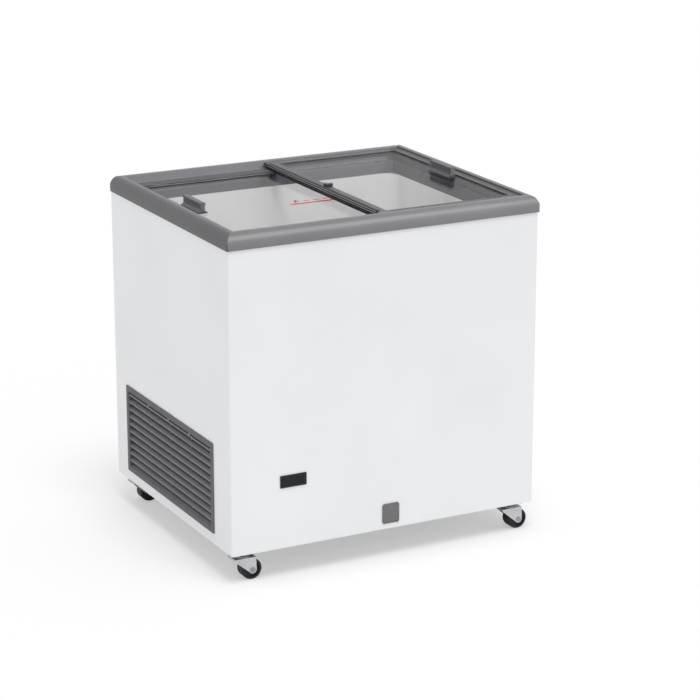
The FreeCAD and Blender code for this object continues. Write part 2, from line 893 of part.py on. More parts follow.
def frame_rails():
    frame_rail("frame_rail_front", "cabinet_width", 0, ("0", f"-{half_depth}", frame_base))
    frame_rail("frame_rail_left", "cabinet_depth", -90, (f"-{half_width}", "0", frame_base))
    frame_rail("frame_rail_right", "cabinet_depth", 90, (half_width, "0", frame_base))
    rear = frame_rail("frame_rail_rear", "cabinet_width", 180, ("0", half_depth, frame_base))
    # relief notch in the rear rail's track wall, under the lower lid's left end
    notch = new_sketch(rear, "XZ_Plane", "-(frame_top + upper_track_width)")
    middle = f"({half_width} - notch_inset)"
    rectangle(notch, f"{middle} - notch_length / 2", "lower_track + notch_height",
              f"{middle} + notch_length / 2", "lower_track + 2 * notch_height")
    pocket(rear, notch, "notch_depth", back=True)


# lids: the lower one is on the left, the upper one on the right


lids = {
    "left": {
        "base": f"({frame_base} + lower_track + track_clearance)",
        "half": f"({half_depth} - frame_top - upper_track_width - lid_clearance)",
        "start": f"(frame_top + upper_track_width + lid_clearance - {half_width})",
        "end": "seam_reach",
    },
    "right": {
        "base": f"({frame_base} + upper_track + track_clearance)",
        "half": f"({half_depth} - frame_top - lid_clearance)",
        "start": "-seam_offset",
        "end": f"({half_width} - frame_top - lid_clearance)",
    },
}
flange_low = "(lid_height - flange_height)"
groove_low = f"({flange_low} + groove_floor)"
groove_high = f"({groove_low} + glass_thickness + 2 * glass_clearance)"
glass_low = f"({groove_low} + glass_clearance)"
glass_high = f"({glass_low} + glass_thickness)"
groove_end = "(glass_groove - fit)"


def lid_runner(side, name, turn):
    lid = lids[side]
    sign = 1 if turn else -1
    middle = f"(({lid['start']} + {lid['end']}) / 2)"
    body = new_body(f"{side}_lid_{name}_runner", (middle, f"{sign} * {lid['half']}", lid["base"]), turn)
    section = [
        ("0", "0"),
        ("runner_width", "0"),
        ("runner_width", flange_low),
        ("lid_border", flange_low),
        ("lid_border", groove_low),
        ("lid_border - glass_groove", groove_low),
        ("lid_border - glass_groove", groove_high),
        ("lid_border", groove_high),
        ("lid_border", "lid_height"),
        ("0", "lid_height"),
    ]
    sketch = new_sketch(body, "YZ_Plane")
    outline(sketch, section)
    pad(body, sketch, f"{lid['end']} - {lid['start']}", both=True)


# an end strip lies between the runners; its section starts at the lid's outer end
def lid_strip(label, side, x, turn, section):
    lid = lids[side]
    body = new_body(label, (x, "0", lid["base"]), turn)
    sketch = new_sketch(body, "XZ_Plane")
    outline(sketch, section)
    pad(body, sketch, f"2 * ({lid['half']} - lid_border)", both=True)
    return body


def plain_strip(width):
    return [
        ("0", flange_low),
        (width, flange_low),
        (width, groove_low),
        (f"{width} - glass_groove", groove_low),
        (f"{width} - glass_groove", groove_high),
        (width, groove_high),
        (width, "lid_height"),
        ("0", "lid_height"),
    ]


def seam_strip():
    top = "(lid_height + seam_rib_rise)"
    rib_low = f"({flange_low} - seam_rib_drop)"
    return [
        ("0", rib_low),
        ("seam_rib_width", rib_low),
        ("seam_rib_width", flange_low),
        ("seam_border", flange_low),
        ("seam_border", groove_low),
        ("seam_border - glass_groove", groove_low),
        ("seam_border - glass_groove", groove_high),
        ("seam_border", groove_high),
        ("seam_border", "lid_height"),
        ("seam_rib_width", "lid_height"),
        ("seam_rib_width", f"{top} - frame_edge", "frame_edge", 1),
        ("seam_rib_width - frame_edge", top),
        ("frame_edge", top, "frame_edge", 1),
        ("0", f"{top} - frame_edge"),
    ]


def end_width(side):
    lid = lids[side]
    sign, end = (-1, "start") if side == "left" else (1, "end")
    return f"({sign} * {lid[end]} - {half_width} + end_border_inset)"


def lid_glass(side, seam_width):
    lid = lids[side]
    tuck = "(lid_border - glass_groove + fit)"
    plain = f"({end_width(side)} - glass_groove + fit)"
    seam = f"({seam_width} - glass_groove + fit)"
    first, last = (plain, seam) if side == "left" else (seam, plain)
    body = new_body(f"{side}_lid_glass", ("0", "0", f"{lid['base']} + {glass_low}"))
    sketch = new_sketch(body, "XY_Plane")
    rectangle(sketch, f"{lid['start']} + {first}", f"{tuck} - {lid['half']}",
              f"{lid['end']} - {last}", f"{lid['half']} - {tuck}")
    pad(body, sketch, "glass_thickness")


# upright grip with a flared foot, a narrow web and a thicker lip
def lid_handle(side):
    sign = -1 if side == "left" else 1
    place = (f"{sign} * ({half_width} - handle_inset)", "0", f"{lids[side]['base']} + {glass_high}")
    body = new_body(f"{side}_lid_handle", place)
    sketch = new_sketch(body, "XZ_Plane")
    foot, web, lip = "handle_foot / 2", "handle_web / 2", "handle_lip / 2"
    flare_top = "(handle_foot_edge + handle_flare)"
    lip_low = "(handle_height - handle_lip_edge - (handle_lip - handle_web))"
    lip_side = "(handle_height - handle_lip_edge)"
    section = [
        (f"-{foot}", "0"),
        (foot, "0"),
        (foot, "handle_foot_edge", "handle_flare_radius", -1),
        (web, flare_top),
        (web, lip_low),
        (lip, lip_side),
        (lip, "handle_height - edge_break"),
        (f"{lip} - edge_break", "handle_height"),
        (f"edge_break - {lip}", "handle_height"),
        (f"-{lip}", "handle_height - edge_break"),
        (f"-{lip}", lip_side),
        (f"-{web}", lip_low),
        (f"-{web}", flare_top, "handle_flare_radius", -1),
        (f"-{foot}", "handle_foot_edge"),
    ]
    outline(sketch, section)
    pad(body, sketch, "handle_length", both=True)


def lid_lock():
    lid = lids["right"]
    middle = "seam_rib_width + lock_radius - seam_offset"
    base = f"{lid['base']} + lid_height"
    housing = new_body("lid_lock_housing", (middle, "0", base))
    sketch = new_sketch(housing, "XZ_Plane")
    corners = [
        ("0", "0"),
        ("lock_radius", "0"),
        ("lock_radius", "lock_height - lock_bevel"),
        ("lock_radius - lock_bevel", "lock_height"),
        ("barrel_radius + fit", "lock_height"),
        ("barrel_radius + fit", "barrel_floor"),
        ("0", "barrel_floor"),
    ]
    outline(sketch, corners)
    revolve(housing, sketch, "Z_Axis")

    barrel = new_body("lid_lock_barrel", (middle, "0", base))
    turned = new_sketch(barrel, "XZ_Plane")
    rectangle(turned, "0", "barrel_floor + fit", "barrel_radius", "lock_height + barrel_rise")
    revolve(barrel, turned, "Z_Axis")
    slot = new_sketch(barrel, "XY_Plane", "lock_height + barrel_rise")
    along, across = "key_slot_length / 2", "key_slot_width / 2"
    rectangle(slot, f"-{along}", f"-{across}", along, across)
    pocket(barrel, slot, "key_slot_depth")


# wiper behind the upper lid's seam rib, over the lower lid's seam strip
def seam_seal():
    lid = lids["right"]
    lower_top = f"({lids['left']['base']} + lid_height + track_clearance)"
    body = new_body("seam_seal", ("seam_rib_width + fit - seam_offset", "0", lower_top))
    sketch = new_sketch(body, "XZ_Plane")
    height = f"({lid['base']} + {flange_low} - {lower_top})"
    tip, tip_end = "(seal_width - seal_tip) / 2", "(seal_width + seal_tip) / 2"
    outline(sketch, [("0", height), (tip, "0"), (tip_end, "0"), ("seal_width", height)])
    pad(body, sketch, f"2 * ({lids['left']['half']} - lid_clearance)", both=True)


def sliding_lids():
    for side in lids:
        lid_runner(side, "front", 0)
        lid_runner(side, "rear", 180)
        lid_handle(side)
    lid_strip("left_lid_end_strip", "left", lids["left"]["start"], 0, plain_strip(end_width("left")))
    lid_strip("right_lid_end_strip", "right", lids["right"]["end"], 180, plain_strip(end_width("right")))
    lid_strip("left_lid_seam_strip", "left", lids["left"]["end"], 180, plain_strip("overlap_border"))
    lid_strip("right_lid_seam_strip", "right", lids["right"]["start"], 0, seam_strip())
    lid_glass("left", "overlap_border")
    lid_glass("right", "seam_border")
    seam_seal()
    lid_lock()


# side grille: a proud rim, a collar through the shell, sloping slats with round noses, upright ribs behind
# the noses, and bridges across the slot over the top slat


def vent_grille():
    body = new_body("vent_grille", (f"-{half_width}", "grille_centre", "grille_bottom"))
    half = "grille_width / 2"
    rim = new_sketch(body, "YZ_Plane", "-grille_proud")
    rounded(rim, f"-{half}", "0", half, "grille_height", "grille_corner")
    pad(body, rim, "grille_proud")
    collar = new_sketch(body, "YZ_Plane")
    rectangle(collar, f"grille_overlap - {half}", "grille_overlap", f"{half} - grille_overlap",
              "grille_height - grille_overlap")
    pad(body, collar, "grille_depth")
    opening = new_sketch(body, "YZ_Plane")
    rectangle(opening, f"grille_side - {half}", "grille_foot", f"{half} - grille_side",
              "grille_height - grille_top")
    pocket(body, opening, both=True)

    low = "(grille_foot - slat_sink)"
    top_edge = "(grille_height - grille_top)"
    slat_pitch = f"(({top_edge} - slat_slot - slat_thickness - {low}) / (slat_count - 1))"
    slat = new_sketch(body, "XZ_Plane")
    outer, inner = "(slat_recess - grille_proud)", "grille_depth"
    slope = f"(slat_rise / (grille_depth - {outer}))"
    blade = [
        (outer, low),
        (inner, f"{low} + slat_rise"),
        (inner, f"{low} + slat_rise + slat_thickness"),
        (f"{outer} + slat_round", f"{low} + slat_thickness + slat_round * {slope}", "slat_nose", 1),
        (outer, f"{low} + slat_thickness - slat_round"),
    ]
    outline(slat, blade)
    first_slat = pad(body, slat, "grille_width - 2 * grille_side", both=True)
    linear(body, [first_slat], "Z_Axis", "slat_count", slat_pitch)

    rib_pitch = "((grille_width - 2 * grille_side) / (rib_count + 1))"
    start = f"((rib_count - 1) * {rib_pitch} / 2)"
    rib = new_sketch(body, "YZ_Plane", "rib_recess - grille_proud")
    rectangle(rib, f"-{start} - rib_width / 2", "grille_foot", f"rib_width / 2 - {start}", top_edge)
    first_rib = pad(body, rib, "grille_depth + grille_proud - rib_recess")
    linear(body, [first_rib], "Y_Axis", "rib_count", rib_pitch)
    bridge = new_sketch(body, "YZ_Plane", outer)
    rectangle(bridge, f"-{start} - bridge_width / 2", f"{top_edge} - slat_slot - slat_thickness",
              f"bridge_width / 2 - {start}", top_edge)
    first_bridge = pad(body, bridge, "rib_recess - slat_recess")
    linear(body, [first_bridge], "Y_Axis", "rib_count", rib_pitch)


# controller behind the front panel


def controller():
    place = ("-controller_centre", f"-{half_depth}", "controller_level")
    across, up = "controller_width / 2", "controller_height / 2"
    inner_across, inner_up = f"({across} - controller_inset)", f"({up} - controller_inset)"
    body = new_body("controller_housing", place)
    bezel = new_sketch(body, "XZ_Plane")
    rounded(bezel, f"-{across}", f"-{up}", across, up, "controller_corner")
    pad(body, bezel, "controller_proud")
    case = new_sketch(body, "XZ_Plane")
    rectangle(case, f"-{inner_across}", f"-{inner_up}", inner_across, inner_up)
    pad(body, case, "controller_depth", back=True)
    hollow = new_sketch(body, "XZ_Plane", "-controller_depth")
    rectangle(hollow, f"controller_wall - {inner_across}", f"controller_wall - {inner_up}",
              f"{inner_across} - controller_wall", f"{inner_up} - controller_wall")
    pocket(body, hollow, "controller_depth - controller_wall", back=True)
    seat = new_sketch(body, "XZ_Plane", "controller_proud")
    rectangle(seat, "-window_width / 2 - fit", "-window_height / 2 - fit", "window_width / 2 + fit",
              "window_height / 2 + fit")
    pocket(body, seat, "window_thickness")

    window = new_body("controller_window", place)
    glass = new_sketch(window, "XZ_Plane", "controller_proud - window_thickness")
    rectangle(glass, "-window_width / 2", "-window_height / 2", "window_width / 2", "window_height / 2")
    pad(window, glass, "window_thickness")


# drain: a pipe from the tub's floor to the front, a cap on the front and a plug in the tub


def drain():
    outer = "(drain_bore + drain_wall)"
    along = f"drain_setback - {half_depth}"
    places = [
        ("drain_centre", along, f"{tub_bottom} - tub_sheet"),
        ("drain_centre", along, "drain_level"),
        ("drain_centre", f"skin - {half_depth}", "drain_level"),
    ]
    tube = keep(doc.addObject("Part::Feature", "drain_tube"), "drain_pipe")
    run = [point(place) for place in places]
    bend = value("drain_bend")
    tube.Shape = bar(run, value(outer), bend).cut(bar(run, value("drain_bore"), bend))

    cover = new_body("drain_cover", ("drain_centre", f"-{half_depth}", "drain_level"))
    across, up = "drain_cover_width / 2", "drain_cover_height / 2"
    plate = new_sketch(cover, "XZ_Plane")
    rounded(plate, f"-{across}", f"-{up}", across, up, "drain_cover_corner")
    pad(cover, plate, "drain_cover_proud")
    grip = new_sketch(cover, "XZ_Plane", "drain_cover_proud")
    rectangle(grip, f"drain_cover_corner - {across}", f"-{up}", f"{across} - drain_cover_corner",
              f"drain_grip_height - {up}")
    pocket(cover, grip, "drain_grip_depth")
    stub = new_sketch(cover, "XZ_Plane")
    circle(stub, "0", "0", "drain_bore - fit")
    pad(cover, stub, "drain_stub", back=True)

    plug = new_body("drain_plug", ("drain_centre", along, tub_bottom))
    turned = new_sketch(plug, "XZ_Plane")
    corners = [
        ("0", "-plug_stem"),
        ("drain_bore - 3 * fit", "-plug_stem"),
        ("drain_bore - fit", "0"),
        ("plug_flange", "0"),
        ("plug_flange", "plug_flange_height - edge_break"),
        ("plug_flange - edge_break", "plug_flange_height"),
        ("0", "plug_flange_height"),
    ]
    outline(turned, corners)
    revolve(plug, turned, "Z_Axis")


# cooling unit in the bay behind the grille

compressor_base = f"({tray_top} + grommet_height)"
compressor_centre = f"(compressor_x - {half_width})"
compressor_top = f"({compressor_base} + foot_sheet + compressor_height)"


def compressor():
    body = new_body("compressor", (compressor_centre, compressor_along, compressor_base))
    foot = new_sketch(body, "XY_Plane")
    rounded(foot, "-foot_width / 2", "-foot_length / 2", "foot_width / 2", "foot_length / 2", "foot_hole")
    for across, along in square("foot_hole_width", "foot_hole_length"):
        circle(foot, across, along, "foot_hole + fit")
    pad(body, foot, "foot_sheet")
    shell = new_sketch(body, "XZ_Plane")
    top = "(foot_sheet + compressor_height)"
    seam_low = "(foot_sheet + compressor_seam_level)"
    seam = "(compressor_radius - compressor_seam)"
    corners = [
        ("0", "0"),
        (f"{seam} - compressor_foot_round", "0", "compressor_foot_round", 1),
        (seam, "compressor_foot_round"),
        (seam, seam_low),
        ("compressor_radius", seam_low),
        ("compressor_radius", f"{seam_low} + compressor_seam_height"),
        (seam, f"{seam_low} + compressor_seam_height"),
        (seam, f"{top} - compressor_round", "compressor_round", 1),
        (f"{seam} - compressor_round", top),
        ("0", top),
    ]
    outline(shell, corners)
    revolve(body, shell, "Z_Axis")

    grommets = []
    bolts = []
    for across, along in foot_places():
        stand = cylinder("grommet_stand", (across, along, tray_top), "grommet_radius", "grommet_height")
        neck = cylinder("grommet_neck", (across, along, compressor_base), "foot_hole",
                        "foot_sheet + grommet_collar")
        bore = cylinder("grommet_hole", (across, along, tray_top), "grommet_bore",
                        "grommet_height + foot_sheet + grommet_collar")
        grommets.append(cut("grommet", fuse("grommet_body", [stand, neck]), [bore]))
        seat = f"({compressor_base} + foot_sheet + grommet_collar)"
        stem = cylinder("bolt_stem", (across, along, "ground_clearance"), "bolt_radius",
                        f"{seat} - ground_clearance")
        head = cylinder("bolt_head", (across, along, seat), "bolt_head", "bolt_head_height")
        bolts.append(fuse("compressor_bolt", [stem, head]))
    keep(together("grommet_group", grommets), "compressor_grommets")
    keep(together("bolt_group", bolts), "compressor_bolts")

    gap = "(compressor_radius - compressor_seam + fit)"
    back = f"({compressor_along} + compressor_radius - terminal_depth / 2)"
    block = box("terminal_block", (f"{compressor_centre} - terminal_width / 2", back,
                                   f"{compressor_base} + terminal_level - terminal_height / 2"),
                ("terminal_width", "terminal_depth", "terminal_height"))
    hollow = cylinder("terminal_hollow", (compressor_centre, compressor_along, "ground_clearance"), gap,
                      bay_height)
    band = cylinder("terminal_band", (compressor_centre, compressor_along,
                                      f"{compressor_base} + foot_sheet + compressor_seam_level - fit"),
                    "compressor_radius + fit", "compressor_seam_height + 2 * fit")
    keep(cut("terminal_cut", block, [hollow, band]), "terminal_box")


condenser_plane = f"(condenser_inset - {half_width})"


def condenser():
    rows = int(value("condenser_rows"))
    bend = f"({condenser_pitch} / 2)"
    base = f"({tray_top} + condenser_low)"
    places = [(condenser_plane, condenser_rear, base)]
    for row in range(rows):
        level = f"{base} + {row} * {condenser_pitch}"
        end = condenser_front if row % 2 == 0 else condenser_rear
        if row == rows - 1:
            places.append((condenser_plane, condenser_rear, level))
            break
        turn = f"{end} - {bend}"
        places.append((condenser_plane, turn, level))
        places.append((condenser_plane, turn, f"{level} + {condenser_pitch}"))
    pipe("condenser_coil", places, "pipe_radius", f"{bend} - condenser_slack")

    straps = []
    for place in (f"{condenser_front} + bracket_inset", f"{condenser_rear} - 2 * bracket_inset"):
        strap = box("bracket_strap", (f"{condenser_plane} - bracket_width / 2", place, tray_top),
                    ("bracket_width", "bracket_sheet", f"condenser_low + {condenser_height}"))
        levels = [f"{base} + {row} * {condenser_pitch}" for row in range(rows)]
        holes = [
            cylinder("bracket_hole", (condenser_plane, f"{place} - bracket_sheet", level),
                     "pipe_radius + fit", "3 * bracket_sheet", "y")
            for level in levels
        ]
        straps.append(cut("bracket", strap, [together("bracket_holes", holes)]))
    keep(together("bracket_group", straps), "condenser_brackets")


fan_plane = f"(fan_inset - {half_width})"
fan_height = f"({tray_top} + fan_level)"
motor_front = f"({fan_plane} + fan_hub_depth + motor_gap)"


def condenser_fan():
    centre = (fan_along, fan_height)
    hub = cylinder("fan_hub", (fan_plane, *centre), "fan_hub", "fan_hub_depth", "x")
    ring = cylinder("fan_ring", (fan_plane, *centre), "fan_radius", "fan_hub_depth", "x")
    blades = []
    for index in range(int(value("fan_blades"))):
        blade = doc.addObject("Part::Box", "fan_blade_plate")
        bind(blade, Length="2 * fan_hub_depth", Width="fan_blade_sheet", Height="fan_radius")
        blades.append(blade)
        corner = point(("-fan_hub_depth", "-fan_blade_sheet / 2", "0"))
        lay = FreeCAD.Placement(corner, FreeCAD.Rotation())
        pitch = FreeCAD.Placement(vector(), FreeCAD.Rotation(vector(0, 0, 1), 90 - value("fan_pitch")))
        turn = 360 * index / value("fan_blades")
        spread = FreeCAD.Placement(vector(), FreeCAD.Rotation(vector(1, 0, 0), turn))
        middle = FreeCAD.Placement(point((f"{fan_plane} + fan_hub_depth / 2", *centre)), FreeCAD.Rotation())
        blade.Placement = middle.multiply(spread).multiply(pitch).multiply(lay)
    swept = doc.addObject("Part::Common", "fan_blades_trimmed")
    swept.Base = ring
    swept.Tool = fuse("fan_blades_joined", blades)
    bore = cylinder("fan_bore", (fan_plane, *centre), "fan_shaft + shaft_clearance", "fan_hub_depth", "x")
    keep(cut("fan_cut", fuse("fan_joined", [hub, swept]), [bore]), "fan_blade")

    motor = new_body("fan_motor", (motor_front, *centre))
    sketch = new_sketch(motor, "XZ_Plane")
    corners = [
        ("-motor_gap - fan_hub_depth", "0"),
        ("-motor_gap - fan_hub_depth", "fan_shaft"),
        ("0", "fan_shaft"),
        ("0", "motor_radius - motor_round", "motor_round", -1),
        ("motor_round", "motor_radius"),
        ("motor_length", "motor_radius"),
        ("motor_length", "0"),
    ]
    outline(sketch, corners)
    revolve(motor, sketch, "X_Axis")

    bracket = new_body("fan_bracket", (f"{motor_front} + motor_length", fan_along, tray_top))
    side = new_sketch(bracket, "XZ_Plane")
    height = "(fan_level + motor_radius)"
    ell = [
        ("0", "0"),
        ("fan_bracket_foot", "0"),
        ("fan_bracket_foot", "fan_bracket_sheet"),
        ("fan_bracket_sheet", "fan_bracket_sheet"),
        ("fan_bracket_sheet", height),
        ("0", height),
    ]
    outline(side, ell)
    pad(bracket, side, "fan_bracket_width", both=True)


def refrigerant_pipes():
    drier_base = f"({tray_top} + drier_level)"
    drier_centre = f"(drier_x - {half_width})"
    drier = new_body("filter_drier", (drier_centre, drier_along, drier_base))
    sketch = new_sketch(drier, "XZ_Plane")
    corners = [
        ("0", "0"),
        ("pipe_radius + drier_neck", "0"),
        ("drier_radius", "drier_taper"),
        ("drier_radius", "drier_length - drier_taper"),
        ("capillary_radius + drier_neck", "drier_length"),
        ("0", "drier_length"),
    ]
    outline(sketch, corners)
    revolve(drier, sketch, "Z_Axis")

    lowest = f"({tray_top} + condenser_low)"
    highest = f"({lowest} + (condenser_rows - 1) * {condenser_pitch})"
    beside = f"{condenser_rear} + discharge_offset"
    liquid = [
        (condenser_plane, condenser_rear, lowest),
        (condenser_plane, drier_along, lowest),
        (drier_centre, drier_along, lowest),
        (drier_centre, drier_along, drier_base),
    ]
    pipe("liquid_pipe", liquid, "pipe_radius", "pipe_bend")

    stub = f"({compressor_centre} - stub_offset)"
    discharge = [
        (stub, f"{compressor_along} - stub_setback", compressor_top),
        (stub, f"{compressor_along} - stub_setback", highest),
        (stub, beside, highest),
        (condenser_plane, beside, highest),
        (condenser_plane, condenser_rear, highest),
    ]
    pipe("discharge_pipe", discharge, "pipe_radius", "pipe_bend")

    tail_end = f"({bay_top} - coil_tail)"
    cross = f"({tail_end} - capillary_drop)"
    capillary = [
        (drier_centre, drier_along, f"{drier_base} + drier_length"),
        (drier_centre, drier_along, cross),
        (f"-{coil_half_width}", drier_along, cross),
        (f"-{coil_half_width}", drier_along, tail_end),
    ]
    pipe("capillary_pipe", capillary, "capillary_radius", "pipe_bend")

    outer = f"(-{coil_half_width} - coil_tail_offset)"
    drop = f"({tail_end} - return_level)"
    suction = [
        (outer, return_along, tail_end),
        (outer, return_along, drop),
        (f"{compressor_centre} + stub_offset", return_along, drop),
        (f"{compressor_centre} + stub_offset", return_along, compressor_top),
    ]
    pipe("suction_pipe", suction, "pipe_radius", "suction_bend")


# castors, one at each corner of the base


def castor(name, across, along):
    fork_low = "(fork_top - fork_sheet)"
    race_low = f"({plate_base} - race_height)"
    race_round = "(race_height * race_height / 4 + race_bulge * race_bulge) / (2 * race_bulge)"
    place = (across, along, "0")

    plate = new_body(f"castor_plate_{name}", place)
    top = new_sketch(plate, "XY_Plane", plate_base)
    rounded(top, "-plate_size / 2", "-plate_size / 2", "plate_size / 2", "plate_size / 2", "plate_corner")
    for hole_across, hole_along in square("plate_hole_pitch"):
        circle(top, hole_across, hole_along, "plate_hole")
    pad(plate, top, "plate_sheet")
    race = new_sketch(plate, "XZ_Plane")
    pin_low = f"({fork_low} - fit - pin_head_height)"
    corners = [
        ("0", pin_low),
        ("pin_head", pin_low),
        ("pin_head", f"{fork_low} - fit"),
        ("pin_radius", f"{fork_low} - fit"),
        ("pin_radius", race_low),
        ("race_radius - race_bulge", race_low, race_round, 1),
        ("race_radius - race_bulge", plate_base),
        ("0", plate_base),
    ]
    outline(race, corners)
    revolve(plate, race, "Z_Axis")

    fork = new_body(f"castor_fork_{name}", place)
    side = new_sketch(fork, "XZ_Plane")
    nose_low = "(fork_top - fork_nose)"
    round_x = "(castor_trail - fork_round * sin(fork_slope))"
    round_z = "(wheel_radius - fork_round * cos(fork_slope))"
    leg = [
        ("-fork_front", "fork_top"),
        (f"{round_x} - ({nose_low} - {round_z}) / tan(fork_slope)", nose_low),
        (round_x, round_z, "fork_round", 1),
        ("castor_trail + fork_round", "wheel_radius"),
        ("fork_rear", "fork_top"),
    ]
    outline(side, leg)
    pad(fork, side, "fork_gap + 2 * fork_sheet", both=True)
    heads = new_sketch(fork, "XZ_Plane")
    circle(heads, "castor_trail", "wheel_radius", "axle_head")
    pad(fork, heads, "fork_gap + 2 * fork_sheet + 2 * axle_head_height", both=True)
    inside = new_sketch(fork, "XZ_Plane")
    rectangle(inside, "-2 * fork_front", "0", "2 * fork_rear", fork_low)
    pocket(fork, inside, "fork_gap", both=True)
    dish = new_sketch(fork, "XY_Plane", fork_low)
    circle(dish, "0", "0", "fork_race_radius")
    pad(fork, dish, f"{race_low} - fit - {fork_low}")
    bore = new_sketch(fork, "XY_Plane")
    circle(bore, "0", "0", "pin_radius + fit")
    pocket(fork, bore, both=True)
    axle = new_sketch(fork, "XZ_Plane")
    circle(axle, "castor_trail", "wheel_radius", "axle_radius")
    pad(fork, axle, "fork_gap + 2 * fork_sheet", both=True)

    wheel = new_body(f"castor_wheel_{name}", (f"{across} + castor_trail", along, "wheel_radius"))
    turned = new_sketch(wheel, "YZ_Plane")
    half, hub = "wheel_width / 2", "wheel_hub_width / 2"
    web = f"({half} - wheel_recess)"
    rim = "(wheel_radius - wheel_rim)"
    corners = [
        (f"-{hub}", "axle_radius + fit"),
        (hub, "axle_radius + fit"),
        (hub, "wheel_hub"),
        (web, "wheel_hub"),
        (web, rim),
        (half, rim),
        (half, "wheel_radius - wheel_shoulder", "wheel_shoulder", 1),
        (f"{half} - wheel_shoulder", "wheel_radius"),
        (f"wheel_shoulder - {half}", "wheel_radius", "wheel_shoulder", 1),
        (f"-{half}", "wheel_radius - wheel_shoulder"),
        (f"-{half}", rim),
        (f"-{web}", rim),
        (f"-{web}", "wheel_hub"),
        (f"-{hub}", "wheel_hub"),
    ]
    outline(turned, corners)
    revolve(wheel, turned, "Y_Axis")


def castors():
    names = ("front_left", "rear_left", "front_right", "rear_right")
    for name, (across, along) in zip(names, castor_places()):
        castor(name, across, along)
    screws = []
    for spot in castor_screw_places():
        head = cylinder("castor_screw_head", (*spot, f"{plate_base} - castor_screw_head_height"),
                        "castor_screw_head", "castor_screw_head_height")
        stem = cylinder("castor_screw_stem", (*spot, plate_base), "castor_screw_radius",
                        "castor_screw_length")
        screws.append(fuse("castor_screw", [head, stem]))
    keep(together("castor_screw_group", screws), "castor_screws")


outer_shell()
rear_panel()
panel_screws()
cord_gland()
base_tray()
insulation_foam()
inner_liner()
evaporator_coil()
frame_rails()
sliding_lids()
vent_grille()
controller()
drain()
compressor()
condenser()
condenser_fan()
refrigerant_pipes()
castors()
doc.recompute()

failed = [item.Label for item in doc.Objects if {"Invalid", "Error"} & set(item.State)]
failed += [item.Label for item in nodes if item.Shape.isNull() or not item.Shape.isValid()]
failed += [item.Label for item in cuts if item.Shape.Volume >= item.BaseFeature.Shape.Volume]
if failed:
    raise RuntimeError(f"failed: {failed}")

os.makedirs("parts", exist_ok=True)
for item in nodes:
    item.Shape.exportStep(f"parts/{item.Label}.step")
print(len(nodes), "sub-parts")
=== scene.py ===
import math

import bmesh
import bpy
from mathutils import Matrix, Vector


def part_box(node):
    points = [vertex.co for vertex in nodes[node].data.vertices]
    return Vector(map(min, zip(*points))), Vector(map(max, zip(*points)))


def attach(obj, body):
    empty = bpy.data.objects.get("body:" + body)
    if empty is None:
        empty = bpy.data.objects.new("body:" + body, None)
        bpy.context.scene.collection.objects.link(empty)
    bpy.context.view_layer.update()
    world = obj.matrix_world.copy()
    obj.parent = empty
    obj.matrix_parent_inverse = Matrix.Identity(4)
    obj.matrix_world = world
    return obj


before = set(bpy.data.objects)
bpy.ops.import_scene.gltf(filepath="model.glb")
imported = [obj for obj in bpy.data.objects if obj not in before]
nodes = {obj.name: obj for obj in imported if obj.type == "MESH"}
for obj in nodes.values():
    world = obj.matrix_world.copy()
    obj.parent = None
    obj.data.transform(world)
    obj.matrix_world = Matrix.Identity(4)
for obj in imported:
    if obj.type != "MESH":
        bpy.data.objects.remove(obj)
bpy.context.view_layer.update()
scene = bpy.context.scene
print("frame loaded,", len(nodes), "nodes")


# colours are written as a screen shows them, 0 to 255; the numbers inside are those of the sRGB curve
def colour(red, green, blue):
    linear = []
    for part in (red, green, blue):
        share = part / 255
        linear.append(share / 12.92 if share <= 0.04045 else ((share + 0.055) / 1.055) ** 2.4)
    return (*linear, 1.0)


# one output of a node tree: sums on it add Math nodes
class Output:
    def __init__(self, graph, socket):
        self.graph = graph
        self.socket = socket

    def maths(self, operation, left, right):
        return self.graph.node("ShaderNodeMath", {"operation": operation}, {0: left, 1: right})

    def __add__(self, other):
        return self.maths("ADD", self, other)

    def __radd__(self, other):
        return self.maths("ADD", other, self)

    def __sub__(self, other):
        return self.maths("SUBTRACT", self, other)

    def __rsub__(self, other):
        return self.maths("SUBTRACT", other, self)

    def __mul__(self, other):
        return self.maths("MULTIPLY", self, other)

    def __rmul__(self, other):
        return self.maths("MULTIPLY", other, self)

    def __truediv__(self, other):
        return self.maths("DIVIDE", self, other)

    def __rtruediv__(self, other):
        return self.maths("DIVIDE", other, self)

    def __lt__(self, other):
        return self.maths("LESS_THAN", self, other)

    def __gt__(self, other):
        return self.maths("GREATER_THAN", self, other)


# a node tree of any kind, filled node by node
class Graph:
    def __init__(self, tree):
        self.tree = tree

    def node(self, kind, settings=None, sockets=None, output=0):
        made = self.tree.nodes.new(kind)
        for name, value in (settings or {}).items():
            setattr(made, name, value)
        for key, value in (sockets or {}).items():
            self.feed(made.inputs[key], value)
        return Output(self, made.outputs[output]) if made.outputs else made

    def feed(self, socket, value):
        if isinstance(value, Output):
            self.tree.links.new(value.socket, socket)
        else:
            socket.default_value = value


noiseSpan = (0.3, 0.7)  # nearly all of a noise lies between these


